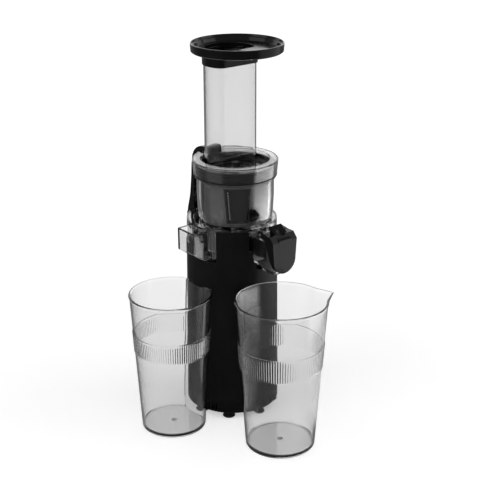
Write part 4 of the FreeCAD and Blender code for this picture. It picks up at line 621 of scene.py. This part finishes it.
class JUICER_OT_stage(bpy.types.Operator):
    """Floor, backdrop, lamps, room light and camera"""
    bl_idname = "juicer.stage"
    bl_label = "Stage"

    def execute(self, context):
        stage = context.scene.juicer_stage
        bpy.ops.object.select_all(action="DESELECT")
        bpy.ops.mesh.primitive_circle_add(vertices=96, radius=FLOOR_RADIUS, fill_type="NGON",
                                          location=(0.0, 0.0, FLOOR_LEVEL))
        floor = context.object
        floor.name = "floor"
        bpy.ops.object.transform_apply(location=True, rotation=True, scale=True)
        finish, tree, shader, out = new_finish("floor_white")
        self.paper(tree, shader)
        shader.inputs["Specular IOR Level"].default_value = 0.1
        # The glow grows away from the juicer, so that its own shadow stays.
        strength = spread(tree, self.from_juicer(tree), 0.47, 0.66, first=0.25, last=1.2)
        seen = self.glow(tree, shader.outputs["BSDF"], strength)
        mirrored = tree.nodes.new("ShaderNodeEmission")
        tree.links.new(self.side_cards(tree), mirrored.inputs["Strength"])
        mix = tree.nodes.new("ShaderNodeMixShader")
        tree.links.new(self.seen_in_mirrors(tree), mix.inputs["Fac"])
        tree.links.new(seen, mix.inputs[1])
        tree.links.new(mirrored.outputs["Emission"], mix.inputs[2])
        tree.links.new(mix.outputs["Shader"], out.inputs["Surface"])
        floor.data.materials.append(finish)
        self.backdrop(context)
        self.room(context, stage)
        self.lamp(context, "left_lamp", (-1.4, 0.25, 1.1), size=1.2, power=stage.left_power)
        self.lamp(context, "right_lamp", (1.1, -1.0, 1.0), size=1.1, power=stage.right_power)
        self.camera(context, stage)
        return {"FINISHED"}

    def paper(self, tree, shader):
        """Pale matt paper with a faint grain."""
        tree.links.new(two_tones(tree, grain(tree, 0.004), (0.80, 0.80, 0.80), (0.84, 0.84, 0.84)),
                       shader.inputs["Base Color"])
        shader.inputs["Roughness"].default_value = 0.8

    def from_juicer(self, tree):
        """Distance of a place on the floor from the juicer's axis, in metres."""
        where = tree.nodes.new("ShaderNodeTexCoord")
        length = tree.nodes.new("ShaderNodeVectorMath")
        length.operation = "LENGTH"
        tree.links.new(where.outputs["Object"], length.inputs[0])
        return length.outputs["Value"]

    def seen_by_eye(self, tree):
        """One for camera, mirror and see-through rays, and zero for light."""
        path = tree.nodes.new("ShaderNodeLightPath")
        first = worked_out(tree, "MAXIMUM", path.outputs["Is Camera Ray"], path.outputs["Is Glossy Ray"])
        return worked_out(tree, "MAXIMUM", first, path.outputs["Is Transmission Ray"])

    def seen_in_mirrors(self, tree):
        """One for rays that a surface has mirrored on their way, also inside clear plastic."""
        path = tree.nodes.new("ShaderNodeLightPath")
        return worked_out(tree, "GREATER_THAN", path.outputs["Glossy Depth"], 0.5)

    def side_cards(self, tree):
        """The floor as mirrors show it: a bright card to the left and to the right, and dim elsewhere."""
        where = tree.nodes.new("ShaderNodeTexCoord")
        parts = tree.nodes.new("ShaderNodeSeparateXYZ")
        tree.links.new(where.outputs["Object"], parts.inputs["Vector"])
        # The cards stand a little away, so they shine in the bowl and only faintly in the cups.
        distance = self.from_juicer(tree)
        begins = spread(tree, distance, 0.14, 1.0, first=0.33, last=0.5)
        ends = spread(tree, distance, 1.0, 0.25, first=0.72, last=0.9)
        reach = worked_out(tree, "MULTIPLY", begins, ends)
        around = worked_out(tree, "ARCTAN2", parts.outputs["Y"], parts.outputs["X"])
        # Middle and half width in degrees, and brightness, of the left and the right card.
        cards = []
        for middle, half, power in ((172.0, 22.0, 0.35), (322.0, 33.0, 3.2)):
            turn = worked_out(tree, "SUBTRACT", around, math.radians(middle))
            away = worked_out(tree, "ABSOLUTE", worked_out(tree, "WRAP", turn, math.pi, -math.pi))
            card = spread(tree, away, power, 0.0, math.radians(half - 6.0), math.radians(half + 10.0))
            card.node.interpolation_type = "SMOOTHSTEP"
            cards.append(card)
        bright = worked_out(tree, "MAXIMUM", cards[0], cards[1])
        return worked_out(tree, "MULTIPLY_ADD", bright, reach, 0.2)

    def glow(self, tree, lit, strength):
        """Adds a plain glow that only the camera, mirrors and clear plastic see."""
        light = tree.nodes.new("ShaderNodeEmission")
        light.inputs["Color"].default_value = (1.0, 1.0, 1.0, 1.0)
        tree.links.new(worked_out(tree, "MULTIPLY", self.seen_by_eye(tree), strength),
                       light.inputs["Strength"])
        both = tree.nodes.new("ShaderNodeAddShader")
        tree.links.new(lit, both.inputs[0])
        tree.links.new(light.outputs["Emission"], both.inputs[1])
        return both.outputs["Shader"]

    def backdrop(self, context):
        """A tall curved sheet behind the juicer."""
        bpy.ops.object.select_all(action="DESELECT")
        bpy.ops.mesh.primitive_grid_add(x_subdivisions=24, y_subdivisions=6, size=1.0,
                                        location=(0.0, 0.0, 0.0))
        sheet = context.object
        sheet.name = "backdrop"
        for point in sheet.data.vertices:
            turn = math.radians(50.0) + point.co.x * math.radians(130.0)
            rise = (point.co.y + 0.5) * BACKDROP_HEIGHT
            point.co = Vector((BACKDROP_RADIUS * math.cos(turn), BACKDROP_RADIUS * math.sin(turn),
                               rise + FLOOR_LEVEL))
        finish, tree, shader, out = new_finish("backdrop_white")
        self.paper(tree, shader)
        tree.links.new(self.glow(tree, shader.outputs["BSDF"], 1.0), out.inputs["Surface"])
        sheet.data.materials.append(finish)
        smooth(sheet)

    def room(self, context, stage):
        """White where it is seen straight, and dimmer for light and for mirrored rays."""
        room = bpy.data.worlds.new("room")
        context.scene.world = room
        room.use_nodes = True
        tree = room.node_tree
        tree.nodes.clear()
        out = tree.nodes.new("ShaderNodeOutputWorld")
        plain = tree.nodes.new("ShaderNodeBackground")
        plain.inputs["Color"].default_value = (1.0, 1.0, 1.0, 1.0)
        straight = worked_out(tree, "SUBTRACT", 1.0, self.seen_in_mirrors(tree))
        seen = worked_out(tree, "MULTIPLY", self.seen_by_eye(tree), straight)
        tree.links.new(spread(tree, seen, stage.room_light, 1.0, 0.0, 1.0), plain.inputs["Strength"])
        tree.links.new(plain.outputs["Background"], out.inputs["Surface"])

    def lamp(self, context, name, place, size, power):
        """A square lamp that points at the juicer."""
        light = bpy.data.lights.new(name, "AREA")
        light.shape = "SQUARE"
        light.size = size
        light.energy = power
        lamp = bpy.data.objects.new(name, light)
        context.scene.collection.objects.link(lamp)
        lamp.location = place
        aim = Vector((0.0, 0.0, 0.2)) - Vector(place)
        lamp.rotation_euler = aim.to_track_quat("-Z", "Y").to_euler()

    def camera(self, context, stage):
        """The photo's view, with enough bounces for the nested clear walls."""
        lens = bpy.data.cameras.new("camera")
        lens.sensor_width = 36.0
        lens.lens = 78.5
        lens.clip_end = 20.0
        camera = bpy.data.objects.new("camera", lens)
        context.scene.collection.objects.link(camera)
        camera.location = stage.camera_place
        camera.rotation_euler = Vector(stage.camera_view).to_track_quat("-Z", "Y").to_euler()
        context.scene.camera = camera
        context.scene.view_settings.view_transform = "Standard"
        context.scene.cycles.max_bounces = 24
        context.scene.cycles.transmission_bounces = 24
        context.scene.cycles.transparent_max_bounces = 24


class JUICER_OT_base(bpy.types.Operator):
    """Motor base, bottom ring, feet, cord gland and screws"""
    bl_idname = "juicer.base"
    bl_label = "Motor base"

    def execute(self, context):
        soft = context.scene.juicer_sizes.soft_edge
        softened("base_housing", "base", "matte_black", "matte_black", soft)
        repaint("foot_ring", "bottom_cover")
        repaint("rubber", "rubber_feet", "cord_gland")
        repaint("steel", "base_screws")
        return {"FINISHED"}


class JUICER_OT_switch(bpy.types.Operator):
    """Rocker switch with its frame and its marks"""
    bl_idname = "juicer.switch"
    bl_label = "Rocker switch"

    def execute(self, context):
        softened("switch_bezel", "base", "gloss_black", "gloss_black", 0.0003)
        softened("rocker_switch", "rocker", "gloss_black", "black_plastic", 0.0003)
        self.bar_mark()
        self.ring_mark()
        return {"FINISHED"}

    def bar_mark(self):
        """The upright bar for on, on the rocker's lower half."""
        bpy.ops.object.select_all(action="DESELECT")
        bpy.ops.mesh.primitive_cube_add(size=1.0, location=(54.76 * MM, 0.0, 66.6 * MM),
                                        rotation=(0.0, -0.352, 0.0), scale=(0.0002, 0.0007, 0.0034))
        self.finish_mark("switch_on_mark")

    def ring_mark(self):
        """The ring for off, on the rocker's upper half."""
        bpy.ops.object.select_all(action="DESELECT")
        bpy.ops.mesh.primitive_torus_add(
            major_segments=32, minor_segments=8, major_radius=0.0013, minor_radius=0.00032,
            location=(53.68 * MM, 0.0, 74.4 * MM), rotation=(0.0, math.pi / 2 + 0.0724, 0.0))
        bpy.context.object.scale = (1.0, 1.0, 0.35)
        self.finish_mark("switch_off_mark")

    def finish_mark(self, name):
        mark = bpy.context.object
        mark.name = name
        mark.data.name = name
        bpy.ops.object.transform_apply(location=True, rotation=True, scale=True)
        coat(mark, "legend_white")
        stand_for(mark, "rocker", "black_plastic")


class JUICER_OT_drive(bpy.types.Operator):
    """Motor, gears, shafts and electrics inside the base"""
    bl_idname = "juicer.drive"
    bl_label = "Drive"

    def execute(self, context):
        repaint("steel", "motor_can", "motor_end_plate", "motor_shaft", "motor_bearing_lower",
                "motor_bearing_upper", "idler_pin", "output_bearing", "drive_shaft", "rotor")
        repaint("magnet", "motor_magnets")
        repaint("copper", "commutator", "carbon_brushes")
        repaint("gear_plastic", "output_gear", "idler_gear", "motor_pinion")
        repaint("black_plastic", "gear_case", "gear_cover", "brush_plate", "cooling_fan",
                "interlock_switch")
        repaint("board", "control_board", "board_parts")
        repaint("silicone", "shaft_seal")
        return {"FINISHED"}


class JUICER_OT_bowl(bpy.types.Operator):
    """Clear bowl with its chute, its spout, the seals and the cap's pin"""
    bl_idname = "juicer.bowl"
    bl_label = "Bowl"

    def execute(self, context):
        softened("bowl", "juicing_set", "smoke_clear", "smoke_clear", 0.0003)
        softened("pulp_chute", "juicing_set", "smoke_clear", "chute_clear", 0.0006)
        softened("juice_spout", "juicing_set", "smoke_clear", "smoke_clear", 0.0004)
        repaint("silicone", "bowl_seal", "spout_seal")
        repaint("steel", "cap_pin")
        return {"FINISHED"}


class JUICER_OT_strainer(bpy.types.Operator):
    """Strainer with its mesh, and the auger"""
    bl_idname = "juicer.strainer"
    bl_label = "Strainer and auger"

    def execute(self, context):
        softened("strainer_frame", "juicing_set", "black_plastic", "strainer_grey", 0.0003)
        repaint("mesh_steel", "strainer_mesh")
        repaint("black_plastic", "auger")
        self.window_teeth()
        return {"FINISHED"}

    def window_teeth(self):
        """A row of small pale teeth down the edge of each window, where the frame holds the mesh."""
        teeth = []
        last = 10
        for window in range(4):
            turn = math.radians(WINDOW_TURN + 90.0 * window)
            for step in range(last + 1):
                # Both the window's edge and the mesh lean outwards towards the top.
                share = step / last
                sideways = 7.8 + 2.2 * share
                out = math.sqrt((34.7 + 1.0 * share) ** 2 - sideways ** 2)
                x = out * math.cos(turn) + sideways * math.sin(turn)
                y = out * math.sin(turn) - sideways * math.cos(turn) - BOWL_FORWARD
                bpy.ops.object.select_all(action="DESELECT")
                bpy.ops.mesh.primitive_cube_add(
                    size=1.0, location=(x * MM, y * MM, (241.0 + 30.0 * share) * MM),
                    rotation=(0.0, 0.0, turn), scale=(0.0016, 0.001, 0.0009))
                teeth.append(bpy.context.object)
        bpy.ops.object.select_all(action="DESELECT")
        for tooth in teeth:
            tooth.select_set(True)
        bpy.context.view_layer.objects.active = teeth[0]
        bpy.ops.object.join()
        row = bpy.context.object
        row.name = "strainer_teeth"
        row.data.name = "strainer_teeth"
        bpy.ops.object.transform_apply(location=True, rotation=True, scale=True)
        coat(row, "stitch_grey")
        stand_for(row, "juicing_set", "black_plastic")


class JUICER_OT_drip_cap(bpy.types.Operator):
    """Drip cap in front of the spout"""
    bl_idname = "juicer.drip_cap"
    bl_label = "Drip cap"

    def execute(self, context):
        softened("drip_cap", "cap", "gloss_black", "cap_black", 0.0007)
        repaint("silicone", "cap_seal")
        return {"FINISHED"}


class JUICER_OT_lid(bpy.types.Operator):
    """Clear lid with its black ring, and the feed tube"""
    bl_idname = "juicer.lid"
    bl_label = "Lid"

    def execute(self, context):
        softened("lid", "juicing_set", "smoke_clear", "smoke_clear", 0.0006)
        softened("feed_tube", "juicing_set", "smoke_clear", "tube_clear", 0.0003)
        # A flat ring under the lid's edge, with a ridged sleeve inside its skirt.
        rings = [(42.92, 282.5), (46.4, 282.5), (46.4, 284.0), (44.2, 284.0)]
        for ridge in (285.2, 288.6, 292.0):
            rings += [(44.2, ridge), (43.5, ridge + 0.6), (43.5, ridge + 1.6), (44.2, ridge + 2.2)]
        rings += [(44.2, 295.2), (42.92, 295.2)]
        seal = turned("lid_gasket_ring", rings, 128, (0.0, -BOWL_FORWARD), closed=False)
        soften(seal, 0.0003)
        smooth(seal)
        coat(seal, "silicone")
        stand_for(seal, "juicing_set", "silicone", "lid_gasket")
        return {"FINISHED"}


class JUICER_OT_arm(bpy.types.Operator):
    """Locking arm with its bracket and pin"""
    bl_idname = "juicer.arm"
    bl_label = "Locking arm"

    def execute(self, context):
        softened("locking_arm", "arm", "gloss_black", "gloss_black", 0.0008)
        softened("arm_bracket", "juicing_set", "gloss_black", "gloss_black", 0.0004)
        repaint("steel", "arm_pin")
        return {"FINISHED"}


class JUICER_OT_tray(bpy.types.Operator):
    """Round feeding tray with its collar"""
    bl_idname = "juicer.tray"
    bl_label = "Tray"

    def execute(self, context):
        softened("hopper_tray", "tray", "gloss_black", "gloss_black", 0.0008)
        return {"FINISHED"}


class JUICER_OT_jug(bpy.types.Operator):
    """Juice jug with its ribbed band and pouring beak"""
    bl_idname = "juicer.jug"
    bl_label = "Juice jug"

    def execute(self, context):
        sizes = context.scene.juicer_sizes
        rim, height = JUG_SHAPE[1:3]
        jug = turned("juice_jug_shell", cup_rings(*JUG_SHAPE, sizes), sizes.cup_ribs * 4, JUG_AT)
        flute(jug, JUG_AT, low=96.5, high=120.8, count=sizes.cup_ribs, depth=sizes.rib_depth)
        pull_beak(jug, JUG_AT, rim, tip=59.9, turn=-20.0, height=height, drop=28.0, half=21.0)
        smooth(jug, 1.0)
        coat_cup(jug, JUG_AT, *JUG_SHAPE)
        stand_for(jug, "jug", "cup_clear", "juice_jug")
        return {"FINISHED"}


class JUICER_OT_pulp_cup(bpy.types.Operator):
    """Pulp cup with its ribbed band and hollow side"""
    bl_idname = "juicer.pulp_cup"
    bl_label = "Pulp cup"

    def execute(self, context):
        sizes = context.scene.juicer_sizes
        foot, rim, height = CUP_SHAPE[:3]
        cup = turned("pulp_cup_shell", cup_rings(*CUP_SHAPE, sizes), sizes.cup_ribs * 4, CUP_AT)
        flute(cup, CUP_AT, low=95.2, high=116.4, count=sizes.cup_ribs, depth=sizes.rib_depth)
        press_hollow(cup, CUP_AT, foot, rim, low=60.7, high=53.0, height=height)
        smooth(cup, 0.8)
        coat_cup(cup, CUP_AT, *CUP_SHAPE)
        stand_for(cup, "pulp_cup", "cup_clear", "pulp_cup")
        return {"FINISHED"}


STEPS = (
    JUICER_OT_stage, JUICER_OT_base, JUICER_OT_switch, JUICER_OT_drive, JUICER_OT_bowl,
    JUICER_OT_strainer, JUICER_OT_drip_cap, JUICER_OT_lid, JUICER_OT_arm, JUICER_OT_tray,
    JUICER_OT_jug, JUICER_OT_pulp_cup,
)


class JUICER_PT_panel(bpy.types.Panel):
    """Lists the pieces of the juicer"""
    bl_idname = "JUICER_PT_panel"
    bl_label = "Cold press juicer"
    bl_space_type = "VIEW_3D"
    bl_region_type = "UI"
    bl_category = "Juicer"

    def draw(self, context):
        column = self.layout.column()
        for step in STEPS:
            column.operator(step.bl_idname)


CLASSES = (JuicerColours, JuicerSizes, StageSettings) + STEPS + (JUICER_PT_panel,)


def register():
    for part in CLASSES:
        bpy.utils.register_class(part)
    bpy.types.Scene.juicer_colours = PointerProperty(type=JuicerColours)
    bpy.types.Scene.juicer_sizes = PointerProperty(type=JuicerSizes)
    bpy.types.Scene.juicer_stage = PointerProperty(type=StageSettings)


def unregister():
    del bpy.types.Scene.juicer_stage
    del bpy.types.Scene.juicer_sizes
    del bpy.types.Scene.juicer_colours
    for part in reversed(CLASSES):
        bpy.utils.unregister_class(part)


def main():
    register()
    bpy.ops.juicer.stage()
    bpy.ops.juicer.base()
    bpy.ops.juicer.switch()
    bpy.ops.juicer.drive()
    bpy.ops.juicer.bowl()
    bpy.ops.juicer.strainer()
    bpy.ops.juicer.drip_cap()
    bpy.ops.juicer.lid()
    bpy.ops.juicer.arm()
    bpy.ops.juicer.tray()
    bpy.ops.juicer.jug()
    bpy.ops.juicer.pulp_cup()
    bpy.context.view_layer.update()


if __name__ == "__main__":
    main()
